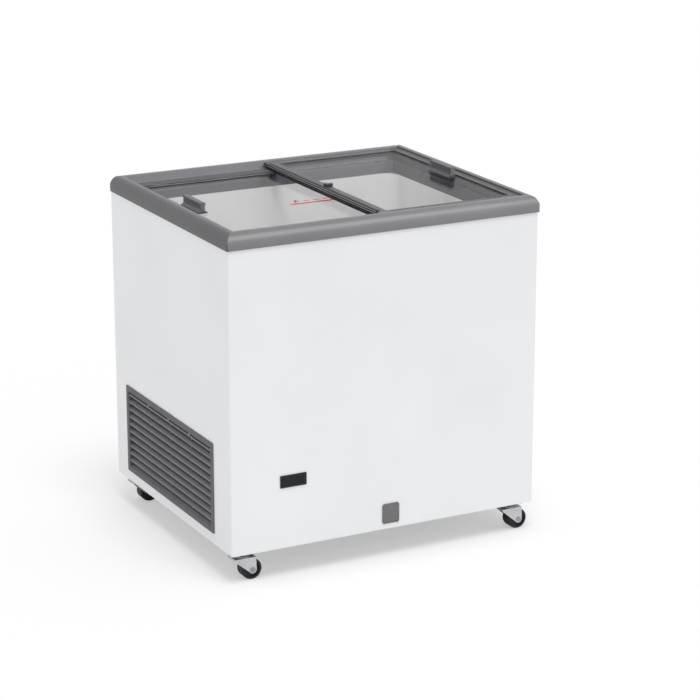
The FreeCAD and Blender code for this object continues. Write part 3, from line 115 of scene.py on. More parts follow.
# the node tree of one material
class Finish(Graph):
    def __init__(self, name):
        self.material = bpy.data.materials.new(name)
        self.material.use_nodes = True
        super().__init__(self.material.node_tree)
        self.tree.nodes.clear()
        self.place = self.node("ShaderNodeTexCoord", output="Object")

    def axes(self):
        apart = self.node("ShaderNodeSeparateXYZ", {}, {"Vector": self.place}).socket.node
        return [Output(self, socket) for socket in apart.outputs]

    def stretched(self, scale):
        return self.node("ShaderNodeMapping", {}, {"Vector": self.place, "Scale": scale})

    # grain is the size of the pattern in metres
    def noise(self, grain, detail=2.0, place=None):
        sockets = {"Vector": place or self.place, "Scale": 1 / grain, "Detail": detail}
        return self.node("ShaderNodeTexNoise", {}, sockets)

    def cells(self, grain, output="Color"):
        return self.node("ShaderNodeTexVoronoi", {}, {"Vector": self.place, "Scale": 1 / grain}, output)

    def blend(self, share, first, second):
        return self.node("ShaderNodeMix", {"data_type": "RGBA"}, {0: share, 6: first, 7: second}, 2)

    def relief(self, height, depth, strength=1.0):
        return self.node("ShaderNodeBump", {}, {"Height": height, "Distance": depth, "Strength": strength})

    # 1 inside a box on Object coordinates and 0 outside it
    # an axis that is left out is open, and "both" is y on either side
    def within(self, box):
        across, along, up = self.axes()
        either = self.node("ShaderNodeMath", {"operation": "ABSOLUTE"}, {0: along})
        places = {"x": across, "y": along, "z": up, "both": either}
        mask = 1.0
        for axis, (low, high) in box.items():
            mask = (places[axis] > low) * (places[axis] < high) * mask
        return mask

    # cloudy colour of a finish, fading along an axis to another shade, with zones of other shades in it; the
    # fades and most zones are painted light or painted shade
    def tone(self, look, cloud):
        base = self.blend(cloud, colour(*look["dark"]), colour(*look["light"]))
        if "fade" in look:
            fade = look["fade"]
            place = self.axes()["xyz".index(fade["axis"])]
            limits = {"Value": place, "From Min": fade["low"], "From Max": fade["high"]}
            share = self.node("ShaderNodeMapRange", {"interpolation_type": "SMOOTHSTEP"}, limits)
            base = self.blend(share, base, self.tone(fade, cloud))
        for zone in look.get("zones", ()):
            base = self.blend(self.within(zone["box"]), base, self.tone(zone, cloud))
        return base

    def spread(self, share, low, high):
        span = {"From Min": noiseSpan[0], "From Max": noiseSpan[1], "To Min": low, "To Max": high}
        return self.node("ShaderNodeMapRange", {}, {"Value": share, **span})

    def shader(self, sockets):
        return self.node("ShaderNodeBsdfPrincipled", {}, sockets)

    def close(self, surface):
        self.node("ShaderNodeOutputMaterial", {}, {"Surface": surface})
        return self.material


# moulded plastic: cloudy colour, a spark-eroded grain and uneven gloss
moulding = {"cloudDetail": 4.0, "grainDetail": 1.0, "glossDetail": 3.0, "glossPerCloud": 3, "shine": 0.25,
            "bump": 0.6}


def mouldedPlastic(name, look):
    finish = Finish(name)
    cloud = finish.spread(finish.noise(look["cloud"], moulding["cloudDetail"]), 0.0, 1.0)
    gloss = finish.noise(look["cloud"] / moulding["glossPerCloud"], moulding["glossDetail"])
    grain = finish.noise(look["grain"], moulding["grainDetail"])
    surface = finish.shader({
        "Base Color": finish.tone(look, cloud),
        "Roughness": finish.spread(gloss, *look["rough"]),
        "Specular IOR Level": look.get("shine", moulding["shine"]),
        "Normal": finish.relief(grain, look["depth"], moulding["bump"]),
    })
    return finish.close(surface)


# sprayed or powder coat on sheet: orange peel under a faint cloud
coating = {"cloudDetail": 3.0, "peelDetail": 1.5, "glossDetail": 3.0, "glossPerCloud": 4, "bump": 0.7}


def paintedSheet(name, look):
    finish = Finish(name)
    cloud = finish.spread(finish.noise(look["cloud"], coating["cloudDetail"]), 0.0, 1.0)
    gloss = finish.noise(look["cloud"] / coating["glossPerCloud"], coating["glossDetail"])
    peel = finish.noise(look["peel"], coating["peelDetail"])
    surface = finish.shader({
        "Base Color": finish.tone(look, cloud),
        "Roughness": finish.spread(gloss, *look["rough"]),
        "Normal": finish.relief(peel, look["depth"], coating["bump"]),
    })
    return finish.close(surface)


# bare or plated metal: cloudy plating with fine drawn lines along one axis
plating = {"cloudDetail": 4.0, "lineDetail": 2.0, "bump": 0.4}


def platedMetal(name, look):
    finish = Finish(name)
    cloud = finish.spread(finish.noise(look["cloud"], plating["cloudDetail"]), 0.0, 1.0)
    lines = finish.noise(look["line"], plating["lineDetail"], finish.stretched(look["stretch"]))
    surface = finish.shader({
        "Base Color": finish.tone(look, cloud),
        "Metallic": look["metal"],
        "Roughness": finish.spread(lines, *look["rough"]),
        "Normal": finish.relief(lines, look["depth"], plating["bump"]),
    })
    return finish.close(surface)


# hot-dip galvanised sheet with its spangle
zincBath = {"cloudDetail": 3.0, "spangleShare": 0.7, "cloudShare": 0.3, "bump": 0.3}


def galvanisedSheet(name, look):
    finish = Finish(name)
    spangle = finish.node("ShaderNodeRGBToBW", {}, {0: finish.cells(look["spangle"])})
    cloud = finish.noise(look["cloud"], zincBath["cloudDetail"])
    mottle = spangle * zincBath["spangleShare"] + cloud * zincBath["cloudShare"]
    shade = finish.spread(mottle, 0.0, 1.0)
    surface = finish.shader({
        "Base Color": finish.tone(look, shade),
        "Metallic": look["metal"],
        "Roughness": finish.spread(spangle, *look["rough"]),
        "Normal": finish.relief(spangle, look["depth"], zincBath["bump"]),
    })
    return finish.close(surface)


# a shade may hold for a part of a moulding only: such zones follow the boxes of its nodes, and most of them
# are painted light or painted shade
margin = 0.0005  # keeps a zone's limit off the face beside it
far = 1.0  # further out than any face

shellPaint = {"light": (237, 238, 240), "dark": (233, 234, 236), "cloud": 0.22, "peel": 0.0022,
              "depth": 0.00003, "rough": (0.30, 0.42)}
unitPaint = {"light": (38, 38, 40), "dark": (24, 24, 26), "cloud": 0.03, "peel": 0.0015,
             "depth": 0.00006, "rough": (0.28, 0.45)}

# the tub's rim shows as a dark line, as thick as its sheet, under the frame
rearLow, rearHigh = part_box("frame_rail_rear")
linerSteps = {"sheet": 0.0008}
linerRim = {"box": {"z": (rearLow.z - linerSteps["sheet"], far)}, "light": (92, 91, 96), "dark": (86, 85, 90)}
linerPaint = {"light": (229, 229, 229), "dark": (222, 222, 222), "cloud": 0.12, "peel": 0.003,
              "depth": 0.00005, "rough": (0.34, 0.46), "zones": [linerRim]}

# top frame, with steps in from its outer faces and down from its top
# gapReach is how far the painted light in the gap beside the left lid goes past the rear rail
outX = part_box("frame_rail_right")[1].x
outY, frameTop = rearHigh.y, rearHigh.z
frameSteps = {"lip": 0.0273, "collar": 0.0365, "crown": 0.0005, "ledge": 0.031, "fadeEnd": 0.039,
              "gapEnd": 0.041, "gapReach": 0.0155}


# what lies inside the frame, a distance in from its outer faces and below its top
def insideFrame(inset, drop):
    return {"x": (inset - outX, outX - inset), "y": (inset - outY, outY - inset), "z": (0.0, frameTop - drop)}


# painted light: the rails' tracks and inner walls are painted lighter than the frame's plastic, for light
# that reaches them
frameTrackPaintedLight = {"box": insideFrame(frameSteps["lip"], frameSteps["crown"]),
              "light": (118, 117, 121), "dark": (115, 114, 118)}
# painted shade: the collar inside the tub is painted darker than the frame's plastic, fading up to painted
# light at its top against the shadow under the runners
frameCollarPaintedShade = {"box": insideFrame(frameSteps["collar"], frameSteps["ledge"]),
               "light": (74, 73, 78), "dark": (71, 70, 75),
               "fade": {"axis": "z", "low": frameTop - frameSteps["fadeEnd"],
                        "high": frameTop - frameSteps["ledge"],
                        "light": (90, 89, 94), "dark": (87, 86, 91)}}
# painted light: the shadowed gap under the left lid's rear runner is painted lighter than the frame's plastic
frameGapPaintedLight = {"box": {"x": (frameSteps["collar"] - outX, 0.0),
                    "y": (rearLow.y - frameSteps["gapReach"], outY - frameSteps["lip"]),
                    "z": (frameTop - frameSteps["gapEnd"], frameTop - frameSteps["ledge"])},
            "light": (110, 109, 113), "dark": (107, 106, 110)}
framePlastic = {"light": (98, 98, 100), "dark": (95, 95, 97), "cloud": 0.12, "grain": 0.0009,
                "depth": 0.00003, "rough": (0.27, 0.3), "shine": 0.14,
                "zones": [frameTrackPaintedLight, frameCollarPaintedShade, frameGapPaintedLight]}

# runners and end strips of the lids: width of a groove, skin over it, and gaps to the strips
stripLow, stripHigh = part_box("right_lid_seam_strip")
lidSteps = {"groove": 0.011, "skin": 0.0004, "seamGap": 0.005, "endGap": 0.011}


# the grooves of both runners of a lid, from the box of its rear runner
def grooveBox(side):
    low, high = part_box(side + "_lid_rear_runner")
    return {"both": (low.y - margin, low.y + lidSteps["groove"]),
            "z": (low.z - margin, high.z - lidSteps["skin"])}


# the right lid's front runner, from the seam strip on
def frontRunnerBox():
    low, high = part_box("right_lid_front_runner")
    return {"x": (stripHigh.x + lidSteps["seamGap"], far), "y": (low.y - margin, high.y + margin),
            "z": (low.z - margin, high.z + margin)}


# painted light: the shadowed grooves of both lids' runners are painted lighter than the lids' plastic
leftGroovePaintedLight = {"box": grooveBox("left"), "light": (165, 165, 167), "dark": (156, 156, 158)}
rightGroovePaintedLight = {"box": grooveBox("right"), "light": (124, 124, 126), "dark": (118, 118, 120)}
# painted shade: the right lid's front runner and end strip are painted darker than the lids' plastic
rightFrontPaintedShade = {"box": frontRunnerBox(), "light": (84, 84, 87), "dark": (80, 80, 83)}
rightEndPaintedShade = {"box": {"x": (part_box("right_lid_end_strip")[0].x - lidSteps["endGap"], far)},
            "light": (86, 86, 89), "dark": (79, 79, 82)}
lidPlastic = {"light": (104, 104, 108), "dark": (99, 99, 103), "cloud": 0.08, "grain": 0.0009,
              "depth": 0.00003, "rough": (0.34, 0.46), "shine": 0.15,
              "zones": [leftGroovePaintedLight, rightGroovePaintedLight, rightFrontPaintedShade, rightEndPaintedShade]}

# handles: heights of the lip and the foot, and the depth of the end faces
handleSteps = {"lip": 0.00075, "foot": 0.00565, "end": 0.0005}


def handleBoxes(side):
    low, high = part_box(side + "_lid_handle")
    across = (low.x - margin, high.x + margin)
    return {"sides": {"x": across, "y": (low.y + handleSteps["end"], high.y - handleSteps["end"])},
            "lip": {"x": across, "z": (high.z - handleSteps["lip"], high.z + margin)},
            "foot": {"x": across, "z": (low.z - margin, low.z + handleSteps["foot"])}}


leftHandle, rightHandle = handleBoxes("left"), handleBoxes("right")
# painted shade: the tops and feet of both handles, and the sides of the right one, are painted darker than
# the handles' plastic
handlePaintedShade = {"light": (104, 104, 107), "dark": (96, 96, 99)}
handleSidePaintedShade = {"box": rightHandle["sides"], "light": (110, 110, 114), "dark": (102, 102, 106)}
handlePlastic = {"light": (142, 142, 146), "dark": (132, 132, 136), "cloud": 0.02, "grain": 0.0008,
                 "depth": 0.00005, "rough": (0.38, 0.5),
                 "zones": [handleSidePaintedShade,
                           {"box": leftHandle["lip"], **handlePaintedShade},
                           {"box": leftHandle["foot"], **handlePaintedShade},
                           {"box": rightHandle["lip"], **handlePaintedShade},
                           {"box": rightHandle["foot"], **handlePaintedShade}]}

# seam strips, with steps in from the left face of the raised one
seamSteps = {"face": 0.0004, "rib": 0.0082}
# painted light: the seam strips are painted lighter right of the rib; painted shade: the raised strip's left
# face is painted darker
seamFlangePaintedLight = {"box": {"x": (stripLow.x + seamSteps["rib"], far)}, "light": (96, 96, 99), "dark": (88, 88, 91)}
seamFacePaintedShade = {"box": {"x": (-far, stripLow.x + seamSteps["face"])}, "light": (36, 36, 38), "dark": (30, 30, 32)}
seamPlastic = {"light": (44, 44, 46), "dark": (36, 36, 38), "cloud": 0.04, "grain": 0.0008,
               "depth": 0.00004, "rough": (0.34, 0.46), "shine": 0.15,
               "zones": [seamFlangePaintedLight, seamFacePaintedShade]}

# grille, with steps in from its outer face and down from its top
grilleLow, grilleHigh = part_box("vent_grille")
grilleSteps = {"rim": 0.00085, "slot": 0.0022, "nose": 0.0044, "slope": 0.0097, "slotTop": 0.0135,
               "slotEnd": 0.0188}
# painted shade: the grille's outer rim and its top slot are painted dark, and the slats are painted darker
# from the nose inwards
grilleRimPaintedShade = {"box": {"x": (-far, grilleLow.x + grilleSteps["rim"])}, "light": (91, 90, 95),
             "dark": (86, 85, 90)}
grilleSlotPaintedShade = {"box": {"x": (grilleLow.x + grilleSteps["slot"], far),
                      "z": (grilleHigh.z - grilleSteps["slotEnd"], grilleHigh.z - grilleSteps["slotTop"])},
              "light": (40, 39, 43), "dark": (34, 33, 37)}
grillePlastic = {"light": (116, 115, 120), "dark": (108, 107, 112), "cloud": 0.05, "grain": 0.0009,
                 "depth": 0.00005, "rough": (0.42, 0.54),
                 "fade": {"axis": "x", "low": grilleLow.x + grilleSteps["nose"],
                          "high": grilleLow.x + grilleSteps["slope"],
                          "light": (60, 59, 64), "dark": (55, 54, 59)},
                 "zones": [grilleRimPaintedShade, grilleSlotPaintedShade]}

# small mouldings, rubber and wheels
controllerPlastic = {"light": (36, 37, 39), "dark": (28, 29, 31), "cloud": 0.012, "grain": 0.0007,
                     "depth": 0.00004, "rough": (0.36, 0.5)}
drainPlastic = {"light": (116, 116, 117), "dark": (108, 108, 109), "cloud": 0.014, "grain": 0.0008,
                "depth": 0.00005, "rough": (0.42, 0.56)}
drainWhitePlastic = {"light": (228, 228, 225), "dark": (216, 216, 212), "cloud": 0.015, "grain": 0.0012,
                     "depth": 0.00004, "rough": (0.36, 0.5)}
blackPlastic = {"light": (40, 40, 42), "dark": (30, 30, 32), "cloud": 0.02, "grain": 0.0009,
                "depth": 0.00005, "rough": (0.44, 0.58)}
lockPlastic = {"light": (74, 74, 77), "dark": (64, 64, 67), "cloud": 0.006, "grain": 0.0006,
               "depth": 0.00003, "rough": (0.26, 0.4)}
sealRubber = {"light": (38, 38, 39), "dark": (28, 28, 29), "cloud": 0.03, "grain": 0.0014,
              "depth": 0.00006, "rough": (0.6, 0.75)}
wheelPolymer = {"light": (44, 44, 46), "dark": (33, 33, 35), "cloud": 0.012, "grain": 0.001,
                "depth": 0.00005, "rough": (0.36, 0.52)}

# castor forks: height of an axle's riveted head, and its top above the fork's lowest edge
forkLow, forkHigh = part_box("castor_fork_rear_left")
castorSteps = {"head": 0.00195, "top": 0.019}
axleHeight = (0.0, forkLow.z + castorSteps["top"])
outerHead = {"box": {"both": (forkHigh.y - castorSteps["head"], far), "z": axleHeight},
             "light": (160, 161, 164), "dark": (146, 147, 150)}
innerHead = {**outerHead, "box": {"both": (0.0, forkLow.y + castorSteps["head"]), "z": axleHeight}}
zincPlate = {"light": (204, 205, 207), "dark": (192, 194, 197), "cloud": 0.02, "line": 0.0015,
             "stretch": (1.0, 1.0, 0.25), "metal": 0.6, "rough": (0.36, 0.46), "depth": 0.00001,
             "zones": [outerHead, innerHead]}

# other metals and galvanised sheets
screwSteel = {"light": (188, 190, 193), "dark": (158, 160, 164), "cloud": 0.006, "line": 0.0012,
              "stretch": (1.0, 1.0, 4.0), "metal": 0.9, "rough": (0.26, 0.42), "depth": 0.00002}
castorDark = {"light": (112, 113, 116), "dark": (84, 85, 88), "cloud": 0.01, "line": 0.0012,
              "stretch": (1.0, 0.3, 1.0), "metal": 0.75, "rough": (0.32, 0.5), "depth": 0.00003}
lockMetal = {"light": (200, 201, 203), "dark": (172, 173, 176), "cloud": 0.003, "line": 0.0006,
             "stretch": (1.0, 1.0, 4.0), "metal": 0.95, "rough": (0.2, 0.34), "depth": 0.00001}
fanAluminium = {"light": (205, 206, 208), "dark": (182, 184, 187), "cloud": 0.02, "line": 0.001,
                "stretch": (1.0, 1.0, 0.2), "metal": 0.9, "rough": (0.32, 0.5), "depth": 0.00003}
copperPipe = {"light": (205, 138, 104), "dark": (150, 88, 62), "cloud": 0.02, "line": 0.0015,
              "stretch": (1.0, 1.0, 1.0), "metal": 0.95, "rough": (0.24, 0.45), "depth": 0.00002}
panelSheet = {"light": (188, 190, 193), "dark": (174, 176, 180), "spangle": 0.007, "cloud": 0.08,
              "metal": 0.7, "rough": (0.38, 0.54), "depth": 0.00003}
bracketSheet = {"light": (184, 186, 190), "dark": (158, 161, 166), "spangle": 0.006, "cloud": 0.03,
                "metal": 0.75, "rough": (0.34, 0.5), "depth": 0.00003}

finishes = {
    "shell_white": paintedSheet("shellPaint", shellPaint),
    "liner_white": paintedSheet("linerPaint", linerPaint),
    "unit_black": paintedSheet("unitPaint", unitPaint),
    "frame_grey": mouldedPlastic("framePlastic", framePlastic),
    "lid_grey": mouldedPlastic("lidPlastic", lidPlastic),
    "handle_grey": mouldedPlastic("handlePlastic", handlePlastic),
    "seam_dark": mouldedPlastic("seamPlastic", seamPlastic),
    "grille_grey": mouldedPlastic("grillePlastic", grillePlastic),
    "controller_black": mouldedPlastic("controllerPlastic", controllerPlastic),
    "drain_grey": mouldedPlastic("drainPlastic", drainPlastic),
    "drain_white": mouldedPlastic("drainWhitePlastic", drainWhitePlastic),
    "black_plastic": mouldedPlastic("blackPlastic", blackPlastic),
    "lock_black": mouldedPlastic("lockPlastic", lockPlastic),
    "seal_black": mouldedPlastic("sealRubber", sealRubber),
    "wheel_black": mouldedPlastic("wheelPolymer", wheelPolymer),
    "screw_steel": platedMetal("screwSteel", screwSteel),
    "castor_zinc": platedMetal("zincPlate", zincPlate),
    "castor_dark": platedMetal("castorDark", castorDark),
    "lock_metal": platedMetal("lockMetal", lockMetal),
    "fan_aluminium": platedMetal("fanAluminium", fanAluminium),
    "copper": platedMetal("copperPipe", copperPipe),
    "panel_grey": galvanisedSheet("panelSheet", panelSheet),
    "bracket_zinc": galvanisedSheet("bracketSheet", bracketSheet),
}


# float glass: clear to lamps, with the slow wave that drawn panes have
paneGlass = {"tint": (246, 246, 246), "ior": 1.05, "rough": 0.01, "wave": 0.09, "waveDetail": 1.0,
             "depth": 0.00012, "bump": 0.2}


def makePaneGlass():
    finish = Finish("paneGlass")
    wave = finish.noise(paneGlass["wave"], paneGlass["waveDetail"])
    glass = finish.shader({
        "Base Color": colour(*paneGlass["tint"]),
        "Roughness": paneGlass["rough"],
        "IOR": paneGlass["ior"],
        "Transmission Weight": 1.0,
        "Normal": finish.relief(wave, paneGlass["depth"], paneGlass["bump"]),
    })
    clear = finish.node("ShaderNodeBsdfTransparent", {}, {"Color": colour(*paneGlass["tint"])})
    shadowRay = finish.node("ShaderNodeLightPath", output="Is Shadow Ray")
    return finish.close(finish.node("ShaderNodeMixShader", {}, {0: shadowRay, 1: glass, 2: clear}))


# display window: deep black under a hard gloss
displayWindow = {"deep": (14, 15, 17), "glow": (26, 28, 31), "cloud": 0.02, "cloudDetail": 2.0,
                 "rough": (0.06, 0.12), "shine": 0.25}


def makeDisplayWindow():
    finish = Finish("displayWindow")
    cloud = finish.noise(displayWindow["cloud"], displayWindow["cloudDetail"])
    surface = finish.shader({
        "Base Color": finish.blend(cloud, colour(*displayWindow["deep"]), colour(*displayWindow["glow"])),
        "Roughness": finish.spread(cloud, *displayWindow["rough"]),
        "Specular IOR Level": displayWindow["shine"],
    })
    return finish.close(surface)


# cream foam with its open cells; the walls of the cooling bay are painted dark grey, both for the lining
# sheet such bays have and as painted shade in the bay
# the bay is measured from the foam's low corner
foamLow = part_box("insulation_foam")[0]
foamBlock = {"light": (232, 219, 178), "dark": (208, 190, 143), "cell": 0.0025, "patch": 0.01,
             "depth": 0.0004, "rough": (0.7, 0.9), "bay": (92, 94, 98), "bayWidth": 0.1892,
             "bayFront": 0.0412, "bayHeight": 0.2553}


def makeFoamBlock():
    finish = Finish("foamBlock")
    inBay = finish.within({"x": (-far, foamLow.x + foamBlock["bayWidth"]),
                           "y": (foamLow.y + foamBlock["bayFront"], far),
                           "z": (0.0, foamLow.z + foamBlock["bayHeight"])})
    cells = finish.cells(foamBlock["cell"], "Distance")
    cream = finish.blend(cells, colour(*foamBlock["dark"]), colour(*foamBlock["light"]))
    surface = finish.shader({
        "Base Color": finish.blend(inBay, cream, colour(*foamBlock["bay"])),
        "Roughness": finish.spread(finish.noise(foamBlock["patch"]), *foamBlock["rough"]),
        "Normal": finish.relief(cells * (1 - inBay), foamBlock["depth"]),
    })
    return finish.close(surface)


finishes["lid_glass"] = makePaneGlass()
finishes["window_black"] = makeDisplayWindow()
finishes["foam_cream"] = makeFoamBlock()

for node in nodes.values():
    for place in node.material_slots:
        place.material = finishes[place.material.name.split(".")[0]]
print("finishes on the frame,", len(finishes))


# a named piece from a mesh, riding on its body
def addPiece(name, mesh, body):
    piece = bpy.data.objects.new(name, mesh)
    scene.collection.objects.link(piece)
    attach(piece, body)


# runs a node tree with named inputs once and keeps the result as a plain mesh
def growPiece(name, build, sizes, material, body):
    tree = bpy.data.node_groups.new(name, "GeometryNodeTree")
    graph = Graph(tree)
    tree.interface.new_socket("Geometry", in_out="OUTPUT", socket_type="NodeSocketGeometry")
    kinds = {int: "NodeSocketInt", float: "NodeSocketFloat", tuple: "NodeSocketVector"}
    sockets = {}
    for label, value in sizes.items():
        sockets[label] = tree.interface.new_socket(label, in_out="INPUT", socket_type=kinds[type(value)])
    start = graph.node("NodeGroupInput").socket.node
    inputs = {label: Output(graph, start.outputs[label]) for label in sizes}
    real = graph.node("GeometryNodeRealizeInstances", {}, {"Geometry": build(graph, inputs)})
    dressed = graph.node("GeometryNodeSetMaterial", {}, {"Geometry": real, "Material": material})
    graph.node("NodeGroupOutput", {}, {"Geometry": dressed})

    holder = bpy.data.objects.new(name + "Tree", bpy.data.meshes.new(name + "Tree"))
    scene.collection.objects.link(holder)
    modifier = holder.modifiers.new(name, "NODES")
    modifier.node_group = tree
    for label, value in sizes.items():
        modifier[sockets[label].identifier] = value
    evaluated = holder.evaluated_get(bpy.context.evaluated_depsgraph_get())
    mesh = bpy.data.meshes.new_from_object(evaluated)
    mesh.name = name
    bpy.data.objects.remove(holder)
    addPiece(name, mesh, body)
    print(name, len(mesh.polygons), "faces")


# round beads along the left face of the raised seam strip, painted light grey as a painted highlight on the
# dark strip's ribs
seamBeads = {"count": 2, "radius": 0.001, "sides": 12, "lowest": 0.0042, "pitch": 0.005,
             "endGap": 0.0015, "light": (164, 164, 166), "dark": (150, 150, 152), "cloud": 0.05,
             "grain": 0.0009, "depth": 0.00004, "rough": (0.3, 0.42)}


def beadTree(graph, inputs):
    half = inputs["Length"] / 2
    ends = [graph.node("ShaderNodeCombineXYZ", {}, {"Y": end}) for end in (half * -1, half)]
    line = graph.node("GeometryNodeCurvePrimitiveLine", {}, {"Start": ends[0], "End": ends[1]})
    ring = graph.node("GeometryNodeCurvePrimitiveCircle", {},
                      {"Resolution": seamBeads["sides"], "Radius": inputs["Radius"]})
    bead = graph.node("GeometryNodeCurveToMesh", {},
                      {"Curve": line, "Profile Curve": ring, "Fill Caps": True})
    step = graph.node("ShaderNodeCombineXYZ", {}, {"Z": inputs["Pitch"]})
    rows = graph.node("GeometryNodeMeshLine", {"mode": "OFFSET"},
                      {"Count": inputs["Count"], "Start Location": inputs["First"], "Offset": step})
    return graph.node("GeometryNodeInstanceOnPoints", {}, {"Points": rows, "Instance": bead})


growPiece("seamBeads", beadTree, {
    "Count": seamBeads["count"],
    "Radius": seamBeads["radius"],
    "Pitch": seamBeads["pitch"],
    "Length": stripHigh.y - stripLow.y - 2 * seamBeads["endGap"],
    "First": (stripLow.x, 0.0, stripLow.z + seamBeads["lowest"]),
}, mouldedPlastic("seamBeads", seamBeads), "right_lid")


# driver crosses in the screw heads, slightly proud and painted dark as painted shade in the recesses: two
# columns down the rear panel, and four round each castor plate
screwCross = {"length": 0.0052, "width": 0.0011, "proud": 0.00015, "panelRows": 5, "panelHead": 0.0045,
              "platePitch": 0.042, "light": (52, 52, 54), "dark": (38, 38, 40), "cloud": 0.004,
              "grain": 0.0006, "depth": 0.00003, "rough": (0.5, 0.65)}


def crossTree(graph, inputs):
    bars = []
    for first, second in (("Length", "Width"), ("Width", "Length")):
        size = graph.node("ShaderNodeCombineXYZ", {},
                          {"X": inputs[first], "Y": inputs[second], "Z": inputs["Proud"]})
        bars.append(graph.node("GeometryNodeMeshCube", {}, {"Size": size}))
    joined = graph.node("GeometryNodeMeshBoolean", {"operation": "UNION"}, {"Mesh 2": bars[0]})
    graph.tree.links.new(bars[1].socket, joined.socket.node.inputs["Mesh 2"])
    across = graph.node("GeometryNodeMeshLine", {"mode": "OFFSET"},
                        {"Count": inputs["Columns"], "Start Location": inputs["First"],
                         "Offset": inputs["Across"]})
    along = graph.node("GeometryNodeMeshLine", {"mode": "OFFSET"},
                       {"Count": inputs["Rows"], "Offset": inputs["Along"]})
    rows = graph.node("GeometryNodeInstanceOnPoints", {}, {"Points": across, "Instance": along})
    points = graph.node("GeometryNodeRealizeInstances", {}, {"Geometry": rows})
    tilt = graph.node("FunctionNodeEulerToRotation", {}, {"Euler": inputs["Tilt"]})
    return graph.node("GeometryNodeInstanceOnPoints", {},
                      {"Points": points, "Instance": joined, "Rotation": tilt})


crossMaterial = mouldedPlastic("screwCross", screwCross)
crossSizes = {
    "Length": screwCross["length"],
    "Width": screwCross["width"],
    "Proud": 2 * screwCross["proud"],
    "Columns": 2,
}
headsLow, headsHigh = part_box("rear_panel_screws")
headRadius = screwCross["panelHead"]
columns = headsHigh.x - headsLow.x - 2 * headRadius
growPiece("rearScrewCrosses", crossTree, {
    **crossSizes,
    "Rows": screwCross["panelRows"],
    "First": (headsLow.x + headRadius, headsHigh.y, headsLow.z + headRadius),
    "Across": (columns, 0.0, 0.0),
    "Along": (0.0, 0.0, (headsHigh.z - headsLow.z - 2 * headRadius) / (screwCross["panelRows"] - 1)),
    "Tilt": (math.pi / 2, 0.0, 0.0),
}, crossMaterial, "cabinet")

pitch = screwCross["platePitch"]
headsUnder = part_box("castor_screws")[0].z
for corner in ("front_left", "rear_left", "front_right", "rear_right"):
    plateLow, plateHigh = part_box("castor_plate_" + corner)
    middle = (plateLow + plateHigh) / 2
    growPiece("castorCrosses_" + corner, crossTree, {
        **crossSizes,
        "Rows": 2,
        "First": (middle.x - pitch / 2, middle.y - pitch / 2, headsUnder),
        "Across": (pitch, 0.0, 0.0),
        "Along": (0.0, pitch, 0.0),
        "Tilt": (0.0, 0.0, math.pi / 4),
    }, crossMaterial, "cabinet")


# red load line on the tub's rear wall: a long rule, a dashed one above it and an arrow at each end
# left and right are counted from the middle, and the drop from the frame's underside
loadMark = {"left": 0.0555, "right": 0.182, "drop": 0.0545, "rule": 0.0026, "dashRise": 0.0066,
            "dashes": 4, "dashShare": 0.6, "arrow": 0.009, "arrowInset": 0.0135, "film": 0.0002,
            "light": (222, 62, 44), "dark": (206, 50, 34), "cloud": 0.01, "grain": 0.001,
            "depth": 0.00001, "rough": (0.4, 0.5)}


def addPlate(shape, corners, wall):
    face = shape.faces.new([shape.verts.new((x, wall, z)) for x, z in corners])
    grown = bmesh.ops.extrude_face_region(shape, geom=[face])
    moved = [part for part in grown["geom"] if isinstance(part, bmesh.types.BMVert)]
    bmesh.ops.translate(shape, verts=moved, vec=(0.0, -loadMark["film"], 0.0))


def addBar(shape, left, right, low, high, wall):
    addPlate(shape, [(left, low), (right, low), (right, high), (left, high)], wall)


def makeLoadMark():
    wall, level = rearLow.y, rearLow.z - loadMark["drop"]
    left, right = loadMark["left"], loadMark["right"]
    rule, arrow = loadMark["rule"], loadMark["arrow"]
    shape = bmesh.new()
    addBar(shape, left, right, level, level + rule, wall)
    dashPitch = (right - left - 2 * arrow) / loadMark["dashes"]
    dashLow = level + loadMark["dashRise"]
    for index in range(loadMark["dashes"]):
        start = left + arrow + index * dashPitch
        addBar(shape, start, start + dashPitch * loadMark["dashShare"], dashLow, dashLow + rule / 2, wall)
    for tip in (left + loadMark["arrowInset"], right - loadMark["arrowInset"]):
        base = level + rule + arrow
        addPlate(shape, [(tip, level + rule), (tip + arrow / 2, base), (tip - arrow / 2, base)], wall)
    bmesh.ops.recalc_face_normals(shape, faces=shape.faces)
    mesh = bpy.data.meshes.new("loadMark")
    shape.to_mesh(mesh)
    shape.free()
    mesh.materials.append(mouldedPlastic("loadMark", loadMark))
    addPiece("loadMark", mesh, "cabinet")


makeLoadMark()
print("load line on the rear wall")


# stage: pale floor, even studio light and a wide soft lamp from above
studio = {"floor": 40.0, "floorWhite": (247, 247, 247), "floorGlow": 0.42, "ambient": 0.65, "sun": 1.44,
          "softness": 28.0, "sunElevation": 71.0, "sunAzimuth": -6.0}
pureWhite = (1.0, 1.0, 1.0, 1.0)


# unit vector towards a lamp or the camera; azimuth 0 is the front, and angles are in degrees
def bearing(azimuth, elevation):
    turn, up = math.radians(azimuth), math.radians(elevation)
    return Vector((math.sin(turn) * math.cos(up), -math.cos(turn) * math.cos(up), math.sin(up)))


